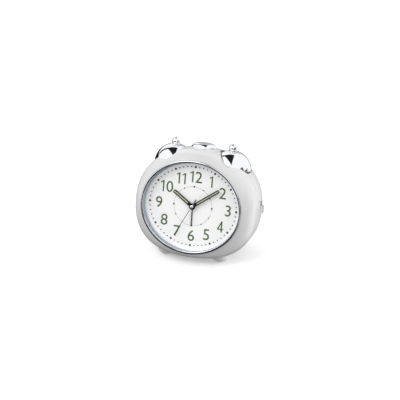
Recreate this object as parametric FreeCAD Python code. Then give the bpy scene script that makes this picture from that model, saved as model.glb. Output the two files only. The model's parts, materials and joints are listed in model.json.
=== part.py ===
import FreeCAD, Part
import math
import os
from FreeCAD import Vector, Placement, Rotation

# Analog alarm clock with two bells.
# The clock is drawn in its dial's frame: X to the right, Y into the case, Z up the dial,
# with the origin at the middle of the dial's front. At the end everything leans back on its feet.
# Lengths are millimetres and angles are degrees.

# Stance
lean_back = 14.4            # how far the dial leans back from upright
front_foot_x = 28.5         # middle of a front foot, off the centre line
front_foot_depth = 15.5     # middle of a front foot
stand_margin = 8.1          # how far below the dial's opening the table is there
foot_radius = 8.5           # radius of a foot above its rounded lower edge
foot_edge = 3.5             # height and width of that rounding
pad_thickness = 1.2         # rubber under each foot
pad_margin = 0.5            # bare rim of the sole round its pad
hip_height = 17.0           # where a leg's wide top is, above the sole
hip_spread = 6.5            # and how far outward of the foot
hip_half_width = 14.0
hip_half_depth = 9.0
rear_foot_x = 26.0
rear_foot_depth = 47.0      # middle of a rear foot

# Case
case_front = -7.6           # depth of the shell's front edge
parting = 25.0              # depth of the joint between the shells, on the bell axes
case_rear = 61.0            # depth of the flat back
case_wall = 2.0
front_edge_margin = 1.4     # the shell's front edge outside the dial's opening
side_margin = 11.8          # the case at the joint, outside the dial's opening at each side
crown_margin = 10.7         # above it
chin_margin = 7.2           # and below it, where the underside turns
bottom_turn = 8.0           # depth of that turn
bottom_softness = 6.0       # how gently the underside turns towards the table's slope
rear_narrowing = 9.2        # how much narrower each side is at the back than at the joint
rear_fall = 13.6            # and how much lower the top is
front_swell = 5.0           # power of the front curve: higher is fuller
bottom_swell = 2.6          # the same under the clock
rear_swell = 2.2            # power of the rear taper
upper_squareness = 2.15     # power of the outline's upper half: 2 is an ellipse
lower_squareness = 2.6      # the same for the lower half, which is squarer
square_depth = 8.0          # depth by which the outline has turned from an ellipse to that
square_rate = 0.6           # how soon it turns
rear_edge_radius = 4.0
front_section_shares = (0.0, 0.09, 0.2, 0.36, 0.55, 0.78, 1.0)   # where sections stand, front edge to joint
rear_section_shares = (0.3, 0.65, 1.0)                           # and from the joint to the rear rounding
edge_section_turns = (25.0, 50.0, 70.0, 85.0)                    # and round the rear edge, in degrees
overshoot = 1.0             # how far a cutter runs past what it cuts
outline_points = 24         # places that an outline passes through

# Dial opening
throat_half_width = 51.4    # opening that takes dial, flange and lens
throat_half_height = 46.5
dial_thickness = 0.6
dial_clearance = 0.25
web_thickness = 1.8         # wall of the shell that carries the dial
hub_hole_radius = 6.0       # hole in the web and for the hand pipes
dial_hole_radius = 2.7
flange_width = 3.15         # from the opening's wall in to where the flange meets the dial
flange_thickness = 0.9
flange_belly = 0.45         # share of the slope reached half way to the dial
lens_back = -6.0            # depth of the lens's flat rear face
lens_edge = 1.1             # thickness at its edge
lens_dome_radius = 900.0
bezel_rim = 1.2             # the ring outside the opening
bezel_lap = 1.1             # and inside it, over the lens's edge
bezel_front = -9.3
bezel_round = 1.1           # roundness of the ring's outer front edge
bezel_lip = 0.4             # how far the ring's inner edge opens towards the front
bezel_lip_flare = 1.6       # and how far it would open as far again in front
bezel_seat_overlap = 0.25   # how far the ring's skirt laps the lens's edge

# Bells
bell_x = 30.2
bell_rim_drop = 18.6        # the bells' rims below the case's crown
bell_radius = 20.4          # outside radius at the rim
bell_height = 18.8          # rim to crown
bell_wall = 1.0
bell_pocket_gap = 1.9       # air between a bell and the scoop in the case
scoop_radius = 26.0         # round hollow of the case in front of each bell
scoop_drop = 11.4           # its floor straight before the bell, below the case's crown
scoop_tilt = 27.0           # how far it leans outward, along the shoulder
scoop_end = 18.0            # depth where it has run into the bell's pocket
bell_post_radius = 2.0
bell_seat_radius = 4.0      # shoulder under the crown
bell_post_waist = 3.0       # the post between its foot and that shoulder
bell_foot_radius = 5.0
bell_foot_height = 1.0
bell_foot_slope = 1.0
bell_knob_radius = 4.2
bell_knob_lift = 2.2        # height of the knob's middle above the crown
bell_bolt_clearance = 0.05

# Striker
striker_head_rise = 1.6     # the head's middle above the bells' rims
striker_arm_length = 13.2   # from there down to the pivot
striker_head_half_length = 8.1
striker_head_radius = 1.7
striker_swing = 5.0         # degrees each way
striker_arm_width = 4.0
striker_arm_thickness = 1.2
striker_pin_radius = 0.8
striker_hub_radius = 2.0
striker_tail = 8.0          # how far the arm reaches below its pivot
striker_pole_drop = 3.4     # top of the poles below the pivot
striker_slot_margin = 0.9   # air round the head in the case's slots
striker_depth_gap = 1.0     # between the arm and the plates beside it
striker_plate = 1.2
striker_coil_drop = 14.0    # the coil's middle below the pivot
striker_coil_radius = 2.9    # of its end flanges
striker_coil_length = 15.0
striker_core_radius = 1.4
striker_winding_depth = 0.4  # how far the winding lies below the flanges
striker_flange = 1.0
standoff_radius = 1.4       # posts of the movement's cover that carry the striker's frame
standoff_x = 6.5
standoff_drop = 1.8         # below the coil's middle
striker_pole_half_gap = 2.9

# Snooze button
button_half_width = 13.0
button_half_depth = 9.6
button_rise = 4.4           # crown of the button above the case's crown
button_height = 5.8         # from there down to the lower edge of its cap
button_dome = ((0.0, 1.0), (0.25, 0.99), (0.5, 0.93), (0.72, 0.82), (0.88, 0.64), (0.97, 0.38))
button_travel = 1.5
button_gap = 0.45           # round the cap in its well
well_room = 2.0             # under the cap, before it is pressed
well_wall = 1.8
stem_radius = 3.4
stem_clearance = 0.1
stem_foot_radius = 5.2
stem_foot_thickness = 1.4
snooze_board = (12.0, 22.0, 1.2)   # width, depth and thickness
snooze_switch = (6.0, 6.0, 3.6)
switch_bore_floor = 0.4     # left under the bore that the plunger slides in
plunger_radius = 1.5
plunger_reach = 2.6         # how far the plunger is inside the switch when pressed
plunger_air = 0.9           # between the button's foot and the switch when pressed
hanger_half_width = 5.0     # arms of the two shells that hold the board's ends
hanger_grip = 2.5           # how far an arm reaches over the board's end
hanger_wall = 1.8

# Alarm switch on the right side
switch_depth = 29.5
switch_height = 2.3         # middle of the slot above the dial's middle
switch_knob_height = 7.6
switch_knob_width = 6.0
switch_knob_proud = 2.6     # how far it stands out of the case
switch_travel = 4.0
switch_clearance = 0.35
switch_body = (5.0, 11.0, 17.0)    # box inside the case: width, depth, height
switch_body_offset = 1.5    # how far the box sits behind the slot
switch_body_gap = 0.35      # and inside the wall
switch_neck = 0.6           # knob's reach inside the wall
switch_tongue = 1.4         # thickness of the slider
switch_track = 2.2          # depth of its track
switch_knob_fillet = 0.7
switch_groove_radius = 0.35
switch_groove_step = 1.6

# Movement
movement_half_width = 26.0
movement_top = 22.0
movement_bottom = -26.0
movement_wall = 1.2
movement_depth = 14.4       # inside, from front wall to cover
arbor_radius = 0.5
pivot_clearance = 0.05
layer_gap = 0.6             # air between the wheels' layers
wall_gap = 0.3              # air between the front wall and the alarm wheel
motion_wheel = 1.0          # thickness of the wheels behind the dial
motion_gap = 1.0            # hour wheel to minute wheel
middle_plate_gap = 0.6      # minute wheel to middle plate
middle_plate_thickness = 0.6
train_wheel = 0.8           # thickness of the going train's larger wheels
thin_wheel = 0.6
train_gaps = (0.5, 1.1, 0.9, 0.8)   # air before the centre, third, second and intermediate wheels
pinion_overlap = 0.2        # how far a pinion stands out past the wheel it meets
pivot_end_gap = 0.1         # play at an arbor's front end
pivot_rear_gap = 0.2        # and at its rear end
pipe_gap = 0.1              # between the nested pipes of the hands
pipe_wall = 0.35
centre_pipe_wall = 0.27
movement_ear_drop = 6.0     # ears' distance from the movement's upper and lower edges

# Wheels: teeth and modules
cannon_teeth = 12
minute_wheel_teeth = 36
minute_pinion_teeth = 10
hour_wheel_teeth = 40
motion_distance = 12.0      # centre arbor to minute wheel
alarm_wheel_teeth = 40
alarm_pinion_teeth = 14
alarm_distance = 16.2
set_pinion_teeth = 12
train_distance = 7.92       # centre arbor to third and intermediate wheels
centre_wheel_teeth = 48
third_wheel_teeth = 45
second_wheel_teeth = 30
intermediate_wheel_teeth = 36
train_pinion_teeth = 6
rotor_distance = 7.0
tooth_addendum = 0.85       # tooth height above and below the pitch circle, in modules
tooth_dedendum = 1.1
tooth_tip_share = 0.1       # half width of a tooth's tip and root, in pitches
tooth_root_share = 0.26
minute_wheel_angle = 170.0  # directions from +X towards +Z, seen from the front
set_pinion_angle = 95.0
alarm_pinion_angle = 50.0
third_wheel_angle = -70.0
intermediate_angle = -170.0
rotor_angle = -120.0

# Stepping motor
rotor_magnet_radius = 2.8
magnet_overhang = 0.3       # how far the magnet stands out past the stator
magnet_gap = 0.5            # air between the stator and what turns beside it
stator_lift = 0.9           # its feet
stator_thickness = 1.2
stator_yoke = (5.4, 6.6, 5.4)      # reach round the rotor: sideways, down and up
stator_leg = 3.5            # width of its two legs
stator_coil_gap = 1.0       # from them to the coil's ends
stator_bar = 3.0            # width of the bar through the coil
stator_link = 2.6           # and of the arm from the yoke to the right leg
stator_foot_radius = 1.2
coil_lift = 4.4             # the coil's middle above the movement's lower wall
coil_span = (-15.0, 1.0)    # the coil's two ends
drive_coil_radius = 3.2
coil_window_gap = 0.3

# Circuit board and alarm contact
board_span = ((14.0, 23.5), (-21.0, 6.0))   # its two sides, its lower and upper edges
board_thickness = 1.0
chip_height = -8.0          # the blob that covers the chip
chip_sphere = 3.2
chip_sunk = 1.6             # how far the blob's sphere is sunk in the board
crystal_radius = 1.0
crystal_length = 6.0
crystal_low = -19.0
crystal_sunk = 0.1
contact_strip = 0.4         # thickness of the alarm contact
contact_rise = 2.0
contact_foot = (8.0, 6.0)   # length and width
contact_leaf = (4.0, 3.0)

# Hands
hour_angle = 304.5          # clockwise from twelve
minute_angle = 54.0
second_angle = 208.0
alarm_angle = 180.0
hour_length = 25.0
minute_length = 33.5
second_length = 35.5
second_tail = 9.0
second_tail_width = 1.2
alarm_length = 20.0
hour_width = 3.8
minute_width = 3.4
second_width = 0.6
alarm_width = 1.1
hand_border = 1.0           # black frame round the luminous strip
hand_neck = 6.5             # where the luminous strip starts
hand_thickness = 0.3
hand_hub_radius = 3.2
cap_radius = 1.7
cap_height = 1.3
cap_edge = 0.4              # from the cap's crown back to its straight side
alarm_hub_margin = 0.9      # hub of the alarm hand round its pipe
alarm_hand_depth = -1.1     # front face of each hand
hour_hand_depth = -2.1
minute_hand_depth = -3.1
second_hand_depth = -3.9

# Rear controls
knob_radius = 6.6
knob_height = 5.0
knob_recess_radius = 8.0
knob_recess_depth = 3.6
knob_air = 0.6
knob_flutes = 16
knob_flute_radius = 0.55
knob_chamfer = 0.5
shaft_radius = 1.2
shaft_clearance = 0.08

# Batteries, two cells of the usual finger size, one above the other
cell_radius = 7.25
cell_length = 49.5
cell_nub_radius = 2.75
cell_nub_length = 1.0
cell_gap = 0.5
cells_middle = -14.2        # height of the line between the two cells
bay_end_room = 3.0          # for the contacts at each end
bay_wall = 1.4
door_thickness = 1.4
door_overlap = 1.0
door_clearance = 0.25
door_travel = 25.0
door_notch = (7.0, 3.5, 0.7)       # half width, height and depth of the thumb catch
door_notch_edge = 1.5       # above it
door_rib = (1.2, 0.3)       # width and height of the ribs inside the door
contact_half_size = 4.0
spring_radii = (1.8, 4.4)   # at the cell and at the bay's end
spring_wire = 0.6           # thickness of the wire
spring_turns = 2.5
spring_steps = 12           # straight lengths in one turn
mitred = 1                  # corner style of a swept wire

# Fasteners
screw_radius = 1.4
screw_head_radius = 2.6
screw_head_height = 1.6
screw_slot = (0.4, 1.6)     # half width and half length of each slot of the cross
screw_slot_depth = 0.8
case_boss_radius = 3.6
case_boss_x = 40.0          # the four case screws, off the centre line
case_boss_heights = (24.0, -24.0)
case_screw_seat = 12.6      # depth of their heads' seats behind the joint
movement_screw_radius = 1.0
movement_screw_head_radius = 1.9
movement_screw_head_height = 1.2
movement_ear = 4.0
movement_screw_grip = 1.2   # how far these screws reach into the dial web

# Places worked out from the sizes above
lean_slope = math.tan(math.radians(lean_back))
table_up = Vector(0, -math.sin(math.radians(lean_back)), math.cos(math.radians(lean_back)))
case_length = case_rear - parting
stand_drop = throat_half_height + stand_margin
side_peak = throat_half_width + side_margin
top_peak = throat_half_height + crown_margin
bottom_peak = throat_half_height + chin_margin
rear_half_width = side_peak - rear_narrowing
rear_top = top_peak - rear_fall
bell_rim_height = top_peak - bell_rim_drop
scoop_low = top_peak - scoop_drop
striker_head_height = bell_rim_height + striker_head_rise
striker_pivot_height = striker_head_height - striker_arm_length
striker_coil_height = striker_pivot_height - striker_coil_drop
standoff_height = striker_coil_height - standoff_drop
button_top = top_peak + button_rise
button_skirt = button_top - button_height
well_floor = button_skirt - well_room
front_half_width = throat_half_width + front_edge_margin
front_half_height = throat_half_height + front_edge_margin
bezel_outer_half_width = throat_half_width + bezel_rim
bezel_outer_half_height = throat_half_height + bezel_rim
bezel_inner_half_width = throat_half_width - bezel_lap
bezel_inner_half_height = throat_half_height - bezel_lap
flange_inner_half_width = throat_half_width - flange_width
flange_inner_half_height = throat_half_height - flange_width
dial_back = dial_thickness
web_back = dial_back + web_thickness
bell_sphere = (bell_radius ** 2 + bell_height ** 2) / (2 * bell_height)
bell_centre_height = bell_rim_height + bell_height - bell_sphere
pocket_radius = bell_sphere + bell_pocket_gap
pocket_floor = bell_rim_height - bell_pocket_gap
bell_crown = bell_rim_height + bell_height
bays_top = cells_middle + cell_gap / 2 + 2 * cell_radius + cell_gap
bays_bottom = cells_middle - cell_gap / 2 - 2 * cell_radius - cell_gap
bay_half_length = cell_length / 2 + bay_end_room
door_front = case_rear - door_thickness
cell_depth = door_front - cell_gap - cell_radius
bay_floor = cell_depth - cell_radius - cell_gap
wall_front = web_back
wall_back = wall_front + movement_wall
cover_front = wall_back + movement_depth
cover_back = cover_front + movement_wall
stem_foot_top = well_floor - well_wall - stem_clearance
stem_foot_bottom = stem_foot_top - stem_foot_thickness
snooze_switch_top = stem_foot_bottom - button_travel - plunger_air
snooze_board_top = snooze_switch_top - snooze_switch[2]
snooze_board_bottom = snooze_board_top - snooze_board[2]
screw_seat = parting + case_screw_seat
bell_knob_middle = bell_crown + bell_knob_lift


def table_height(depth):
    """Height of the table's top at a depth, in the dial's frame."""
    return (depth - front_foot_depth) * lean_slope - stand_drop


def swell(depth, front, peak, rear):
    """Half size of the case at a depth: a full curve to the joint, then a gentler taper."""
    if depth <= parting:
        share = (parting - depth) / (parting - case_front)
        return peak - (peak - front) * share ** front_swell
    share = (depth - parting) / case_length
    return peak - (peak - rear) * share ** rear_swell


def underside(depth):
    """Depth of the case below the dial's middle, running along the table behind the turn."""
    if depth <= bottom_turn:
        share = (bottom_turn - depth) / (bottom_turn - case_front)
        return bottom_peak - (bottom_peak - front_half_height) * share ** bottom_swell
    run = math.hypot(depth - bottom_turn, bottom_softness) - bottom_softness
    return bottom_peak - lean_slope * run


def rear_rounding(depth):
    """How far the rounded rear edge draws the outline in."""
    reach = depth - (case_rear - rear_edge_radius)
    if reach <= 0:
        return 0.0
    return rear_edge_radius - math.sqrt(max(rear_edge_radius ** 2 - reach ** 2, 0.0))


def oval_wire(depth, half_width, top, bottom, upper_power=2.0, lower_power=2.0):
    """A smooth closed outline whose upper and lower halves may differ in height and squareness."""
    nodes = []
    for i in range(outline_points):
        across = math.cos(2 * math.pi * i / outline_points)
        upward = math.sin(2 * math.pi * i / outline_points)
        height, power = (top, upper_power) if upward >= 0 else (bottom, lower_power)
        fullness = (abs(across) ** power + abs(upward) ** power) ** (-1 / power)
        nodes.append(Vector(half_width * across * fullness, depth, height * upward * fullness))
    curve = Part.BSplineCurve()
    knots = [i / outline_points for i in range(outline_points + 1)]
    curve.interpolate(Points=nodes, PeriodicFlag=True, Parameters=knots)
    return Part.Wire([curve.toShape()])


def squareness(depth, full):
    """Power of the case's outline at a depth, from an ellipse at the front edge to the full power."""
    share = min((depth - case_front) / (square_depth - case_front), 1.0)
    return 2 + (full - 2) * max(share, 0.0) ** square_rate


def case_section(depth, inset):
    draw_in = inset + rear_rounding(depth)
    return oval_wire(
        depth,
        swell(depth, front_half_width, side_peak, rear_half_width) - draw_in,
        swell(depth, front_half_height, top_peak, rear_top) - draw_in,
        underside(depth) - draw_in,
        squareness(depth, upper_squareness),
        squareness(depth, lower_squareness),
    )


def case_body(start, end, inset=0.0):
    """The case's rounded form between two depths, drawn in all round by the inset."""
    depths = [start + share * (parting - start) for share in front_section_shares]
    turn = end - rear_edge_radius
    depths += [parting + share * (turn - parting) for share in rear_section_shares]
    depths += [turn + rear_edge_radius * math.sin(math.radians(angle)) for angle in edge_section_turns]
    return Part.makeLoft([case_section(depth, inset) for depth in depths], True, False)


def ellipse_face(half_width, half_height, depth):
    centre = Vector(0, depth, 0)
    tips = (Vector(half_width, depth, 0), Vector(0, depth, half_height))
    if half_height > half_width:
        tips = (tips[1], Vector(-half_width, depth, 0))
    return Part.Face(Part.Wire([Part.Ellipse(tips[0], tips[1], centre).toShape()]))


def oval_plate(half_width, half_height, start, end):
    return ellipse_face(half_width, half_height, start).extrude(Vector(0, end - start, 0))


def oval_cone(sizes):
    """A smooth oval form through (depth, half width, half height) sections."""
    wires = [oval_wire(depth, width, height, height) for depth, width, height in sizes]
    return Part.makeLoft(wires, True, False)


def box(x, y, z):
    """A block between two limits along each axis."""
    block = Part.makeBox(x[1] - x[0], y[1] - y[0], z[1] - z[0])
    block.translate(Vector(x[0], y[0], z[0]))
    return block


def rod(radius, start, end, x=0.0, z=0.0):
    """A round bar into the case, between two depths."""
    return Part.makeCylinder(radius, end - start, Vector(x, start, z), Vector(0, 1, 0))


def post(radius, low, high, x=0.0, y=0.0):
    """A round bar up the dial, between two heights."""
    return Part.makeCylinder(radius, high - low, Vector(x, y, low), Vector(0, 0, 1))


def spun(points, x, y):
    """A solid turned about a line up the dial, from (radius, height) corners."""
    outline = Part.makePolygon([Vector(x + radius, y, height) for radius, height in points + points[:1]])
    return Part.Face(outline).revolve(Vector(x, y, 0), Vector(0, 0, 1), 360)


def around(angle, distance, start=(0.0, 0.0)):
    """The (x, z) place at a direction and distance from another place."""
    turn = math.radians(angle)
    return start[0] + distance * math.cos(turn), start[1] + distance * math.sin(turn)


minute_wheel_at = around(minute_wheel_angle, motion_distance)
set_module = 2 * motion_distance / (cannon_teeth + minute_wheel_teeth)
set_distance = set_module * (set_pinion_teeth + minute_wheel_teeth) / 2
set_pinion_at = around(set_pinion_angle, set_distance, minute_wheel_at)
alarm_pinion_at = around(alarm_pinion_angle, alarm_distance)
third_wheel_at = around(third_wheel_angle, train_distance)
intermediate_at = around(intermediate_angle, train_distance)
rotor_at = around(rotor_angle, rotor_distance, intermediate_at)


def both_sides(shape):
    """A shape with its mirror image across the clock's middle."""
    return [shape, shape.mirror(Vector(0, 0, 0), Vector(1, 0, 0))]


def bell_pocket(extra=0.0):
    """The space that a bell sits in, following its dome, grown by the extra."""
    radius = pocket_radius + extra
    centre = Vector(bell_x, parting, bell_centre_height)
    ball = Part.makeSphere(radius, centre)
    low = pocket_floor - extra
    reach = 2 * radius
    keep = box((bell_x - radius, bell_x + radius), (parting - radius, parting + radius), (low, low + reach))
    return ball.common(keep)


def bell_scoop(extra=0.0):
    """The hollow that opens the case's shoulder before a bell, grown by the extra."""
    lean = math.radians(scoop_tilt)
    x = bell_x + scoop_radius * math.sin(lean)
    z = scoop_low + scoop_radius * math.cos(lean)
    return rod(scoop_radius + extra, 2 * case_front, scoop_end, x, z)


def stem_guide(extra=0.0):
    """The well in the crown of the case that the snooze button sinks into."""
    half_width = button_half_width + button_gap + extra
    half_depth = button_half_depth + button_gap + extra
    face = ellipse_face(half_width, half_depth, 0)
    face.rotate(Vector(0, 0, 0), Vector(1, 0, 0), 90)
    face.translate(Vector(0, parting, well_floor - extra))
    return face.extrude(Vector(0, 0, button_top))


def foot(x, depth):
    """A stout leg, from a wide hip inside the case's lower corner down to its round sole."""
    ground = Vector(x, depth, table_height(depth))
    sections = []
    for turn in (0.0, 35.0, 65.0, 90.0):
        radius = foot_radius - foot_edge * (1 - math.sin(math.radians(turn)))
        rise = foot_edge * (1 - math.cos(math.radians(turn)))
        sections.append((pad_thickness + rise, 0.0, radius, radius))
    sections.append((pad_thickness + hip_height, hip_spread, hip_half_width, hip_half_depth))
    rings = []
    for height, outward, half_width, half_depth in sections:
        ring = Part.Ellipse(Vector(half_width, 0, 0), Vector(0, half_depth, 0), Vector(0, 0, 0)).toShape()
        ring.Placement = Placement(ground + table_up * height + Vector(outward, 0, 0),
                                   Rotation(Vector(1, 0, 0), lean_back))
        rings.append(Part.Wire([ring]))
    return Part.makeLoft(rings, True, False)


def foot_pad(x, depth):
    ground = Vector(x, depth, table_height(depth))
    return Part.makeCylinder(foot_radius - foot_edge - pad_margin, pad_thickness, ground, table_up)


def boss_places():
    """Where the four case screws run, as (x, z)."""
    return [(side * case_boss_x, z) for z in case_boss_heights for side in (-1, 1)]


outer_form = case_body(case_front, case_rear)
inner_form = case_body(case_front + case_wall, case_rear - case_wall, case_wall)
throat_block = oval_plate(
    throat_half_width + case_wall, throat_half_height + case_wall, case_front, web_back
)
cavity = inner_form.cut(throat_block)
for hollow in both_sides(bell_pocket(case_wall)) + both_sides(bell_scoop(case_wall)):
    cavity = cavity.cut(hollow)
cavity = cavity.cut(stem_guide(well_wall))
front_half = box((-2 * side_peak, 2 * side_peak), (2 * case_front, parting), (-2 * top_peak, 2 * top_peak))
rear_half = box((-2 * side_peak, 2 * side_peak), (parting, 2 * case_rear), (-2 * top_peak, 2 * top_peak))


def shared_cuts(shell):
    """What both shells give way to: bells, button, striker head."""
    for hollow in both_sides(bell_pocket()) + both_sides(bell_scoop()):
        shell = shell.cut(hollow)
    shell = shell.cut(stem_guide())
    stem_hole = post(stem_radius + stem_clearance, snooze_board_top, well_floor + overshoot, 0, parting)
    shell = shell.cut(stem_hole)
    slot = striker_head_radius + striker_slot_margin
    window = box((-bell_x, bell_x), (parting - slot, parting + slot),
                 (striker_head_height - slot, striker_head_height + slot))
    return shell.cut(window)


def board_hanger(side):
    """Arm from a shell's roof that holds one end of the snooze board: -1 in front, 1 behind."""
    end = side * snooze_board[1] / 2
    depths = sorted((parting + end - side * hanger_grip, parting + end + side * hanger_wall))
    arm = box((-hanger_half_width, hanger_half_width), depths,
              (snooze_board_bottom - hanger_wall, top_peak))
    slot = box((-2 * hanger_half_width, 2 * hanger_half_width), sorted((parting, parting + end)),
               (snooze_board_bottom, snooze_board_top))
    return arm.cut(slot).common(inner_form)


def make_front_shell():
    shell = outer_form.common(front_half).cut(cavity)
    for leg in both_sides(foot(front_foot_x, front_foot_depth)):
        shell = shell.fuse(leg.cut(inner_form).cut(rear_half))
    shell = shared_cuts(shell.fuse(board_hanger(-1)))
    shell = shell.cut(oval_plate(throat_half_width, throat_half_height, 2 * case_front, dial_back))
    shell = shell.cut(rod(hub_hole_radius, dial_back - overshoot, web_back + overshoot))
    for x, z in boss_places():
        boss = rod(case_boss_radius, dial_back, parting, x, z).common(inner_form)
        shell = shell.fuse(boss).cut(rod(screw_radius, web_back + case_wall, parting, x, z))
    return shell


def bay_block():
    """The box of plastic that holds the two cells."""
    return box(
        (-bay_half_length - bay_wall, bay_half_length + bay_wall),
        (bay_floor - bay_wall, case_rear - case_wall / 2),
        (bays_bottom - bay_wall, bays_top + bay_wall),
    )


def bay_space():
    return box((-bay_half_length, bay_half_length), (bay_floor, 2 * case_rear), (bays_bottom, bays_top))


def door_block(gap):
    """The plate that closes the bay, grown by a gap."""
    return box(
        (-bay_half_length - door_overlap - gap, bay_half_length + door_overlap + gap),
        (door_front, 2 * case_rear),
        (bays_bottom - door_overlap - gap, bays_top + door_overlap + gap),
    )


def make_rear_cover():
    shell = outer_form.common(rear_half).cut(cavity)
    for leg in both_sides(foot(rear_foot_x, rear_foot_depth)):
        shell = shell.fuse(leg.cut(inner_form).cut(front_half))
    shell = shared_cuts(shell.fuse(board_hanger(1)))
    shell = shell.fuse(bay_block()).cut(bay_space()).cut(door_block(door_clearance))
    for x, z in (set_pinion_at, alarm_pinion_at):
        floor = case_rear - knob_recess_depth
        cup = rod(knob_recess_radius + case_wall, floor - case_wall, case_rear - case_wall / 2, x, z)
        shell = shell.fuse(cup)
        shell = shell.cut(rod(knob_recess_radius, floor, 2 * case_rear, x, z))
        shell = shell.cut(rod(shaft_radius + shaft_clearance, floor - 2 * case_wall, case_rear, x, z))
    for x, z in boss_places():
        boss = rod(case_boss_radius, parting, case_rear, x, z).common(inner_form)
        shank_hole = rod(screw_radius + shaft_clearance, parting - overshoot, case_rear, x, z)
        shell = shell.fuse(boss).cut(shank_hole)
        shell = shell.cut(rod(screw_head_radius + door_clearance, screw_seat, 2 * case_rear, x, z))
    shell = shell.cut(switch_window())
    return shell.removeSplitter()


def switch_window():
    half_height = (switch_knob_height + switch_travel) / 2 + switch_clearance
    half_depth = switch_knob_width / 2 + switch_clearance
    return box((side_peak / 2, 2 * side_peak), (switch_depth - half_depth, switch_depth + half_depth),
               (switch_height - half_height, switch_height + half_height))


def make_bezel_ring():
    turns = [math.radians(angle) for angle in (0.0, 45.0, 90.0)]
    rounding = [(bezel_front + bezel_round * (1 - math.sin(turn)), bezel_round * (1 - math.cos(turn)))
                for turn in turns]
    sections = [(case_front, 0.0)] + rounding
    outer = oval_cone([(depth, bezel_outer_half_width - inset, bezel_outer_half_height - inset)
                       for depth, inset in sections])
    skirt = oval_plate(
        throat_half_width - dial_clearance, throat_half_height - dial_clearance,
        case_front, lens_back - lens_edge + bezel_seat_overlap,
    )
    flares = [(2 * bezel_front - case_front, bezel_lip_flare), (bezel_front, bezel_lip), (lens_back, 0.0)]
    lip = oval_cone([(depth, bezel_inner_half_width + flare, bezel_inner_half_height + flare)
                     for depth, flare in flares])
    return outer.fuse(skirt).cut(lip).removeSplitter()


def make_lens():
    edge_front = lens_back - lens_edge
    half_width = throat_half_width - dial_clearance
    rise = half_width ** 2 / (2 * lens_dome_radius)
    slab = oval_plate(half_width, throat_half_height - dial_clearance, edge_front - rise, lens_back)
    ball = Part.makeSphere(lens_dome_radius, Vector(0, edge_front - rise + lens_dome_radius, 0))
    clear = oval_plate(
        bezel_inner_half_width - dial_clearance, bezel_inner_half_height - dial_clearance,
        edge_front - 2 * rise, lens_back,
    )
    edge = slab.common(oval_plate(half_width, half_width, edge_front + bezel_seat_overlap, lens_back))
    return slab.common(ball).common(clear).fuse(edge).removeSplitter()


def make_dial_flange():
    outer = oval_plate(
        throat_half_width - dial_clearance, throat_half_height - dial_clearance, lens_back, 0
    )
    slope = throat_half_width - flange_inner_half_width - flange_thickness
    spreads = [(lens_back - overshoot, slope), (lens_back / 2, flange_belly * slope), (overshoot, 0.0)]
    inner = oval_cone([(depth, flange_inner_half_width + spread, flange_inner_half_height + spread)
                       for depth, spread in spreads])
    return outer.cut(inner)


def make_dial():
    plate = oval_plate(
        throat_half_width - dial_clearance, throat_half_height - dial_clearance, 0, dial_back
    )
    return plate.cut(rod(dial_hole_radius, -overshoot, dial_back + overshoot))


def make_bell():
    centre = Vector(bell_x, parting, bell_centre_height)
    outside = Part.makeSphere(bell_sphere, centre)
    inside = Part.makeSphere(bell_sphere - bell_wall, centre)
    reach = 2 * bell_sphere
    keep = box((bell_x - reach, bell_x + reach), (parting - reach, parting + reach),
               (bell_rim_height, bell_rim_height + reach))
    dome = outside.cut(inside).common(keep)
    bore = post(bell_post_radius + bell_bolt_clearance, bell_centre_height, bell_crown + overshoot,
                bell_x, parting)
    return dome.cut(bore)


def make_bell_post():
    """Shouldered post from the scoop's floor to above the crown."""
    seat = math.sqrt((bell_sphere - bell_wall) ** 2 - bell_seat_radius ** 2) + bell_centre_height
    outline = [
        (0, pocket_floor),
        (bell_foot_radius, pocket_floor),
        (bell_foot_radius, pocket_floor + bell_foot_height),
        (bell_post_waist, pocket_floor + bell_foot_height + bell_foot_slope),
        (bell_post_waist, seat - bell_seat_radius + bell_post_waist),
        (bell_seat_radius, seat),
        (bell_post_radius, seat),
        (bell_post_radius, bell_knob_middle),
        (0, bell_knob_middle),
    ]
    return spun(outline, bell_x, parting)


def make_bell_knob():
    """Ball nut that holds the bell down, hollowed to sit on its crown."""
    ball = Part.makeSphere(bell_knob_radius, Vector(bell_x, parting, bell_knob_middle))
    dome = Part.makeSphere(bell_sphere, Vector(bell_x, parting, bell_centre_height))
    bore = post(bell_post_radius, bell_rim_height, bell_knob_middle, bell_x, parting)
    return ball.cut(dome).cut(bore)


def make_snooze_button():
    """Oval domed cap on a round stem with a foot that stops it lifting out."""
    rise = button_top - button_skirt
    sections = []
    for share, size in button_dome:
        wire = oval_wire(0, size * button_half_width, size * button_half_depth, size * button_half_depth)
        wire.rotate(Vector(0, 0, 0), Vector(1, 0, 0), 90)
        wire.translate(Vector(0, parting, button_skirt + share * rise))
        sections.append(wire)
    cap = Part.makeLoft(sections, True, False)
    stem = post(stem_radius, stem_foot_top, button_skirt, 0, parting)
    sole = post(stem_foot_radius, stem_foot_bottom, stem_foot_top, 0, parting)
    return cap.fuse(stem).fuse(sole).removeSplitter()


def make_snooze_plunger():
    low = snooze_switch_top - plunger_reach + button_travel
    return post(plunger_radius, low, stem_foot_bottom, 0, parting)


def make_snooze_switch():
    """Switch body on its small board, with the bore that the plunger slides in."""
    width, depth = snooze_switch[:2]
    body = box((-width / 2, width / 2), (parting - depth / 2, parting + depth / 2),
               (snooze_board_top, snooze_switch_top))
    board = box((-snooze_board[0] / 2, snooze_board[0] / 2),
                (parting - snooze_board[1] / 2, parting + snooze_board[1] / 2),
                (snooze_board_bottom, snooze_board_top))
    bore_floor = snooze_board_top + switch_bore_floor
    bore = post(plunger_radius + shaft_clearance, bore_floor, well_floor, 0, parting)
    return body.cut(bore).fuse(board)


def striker_front():
    return parting - striker_arm_width / 2 - striker_depth_gap


def striker_rear():
    return parting + striker_arm_width / 2 + striker_depth_gap


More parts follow.
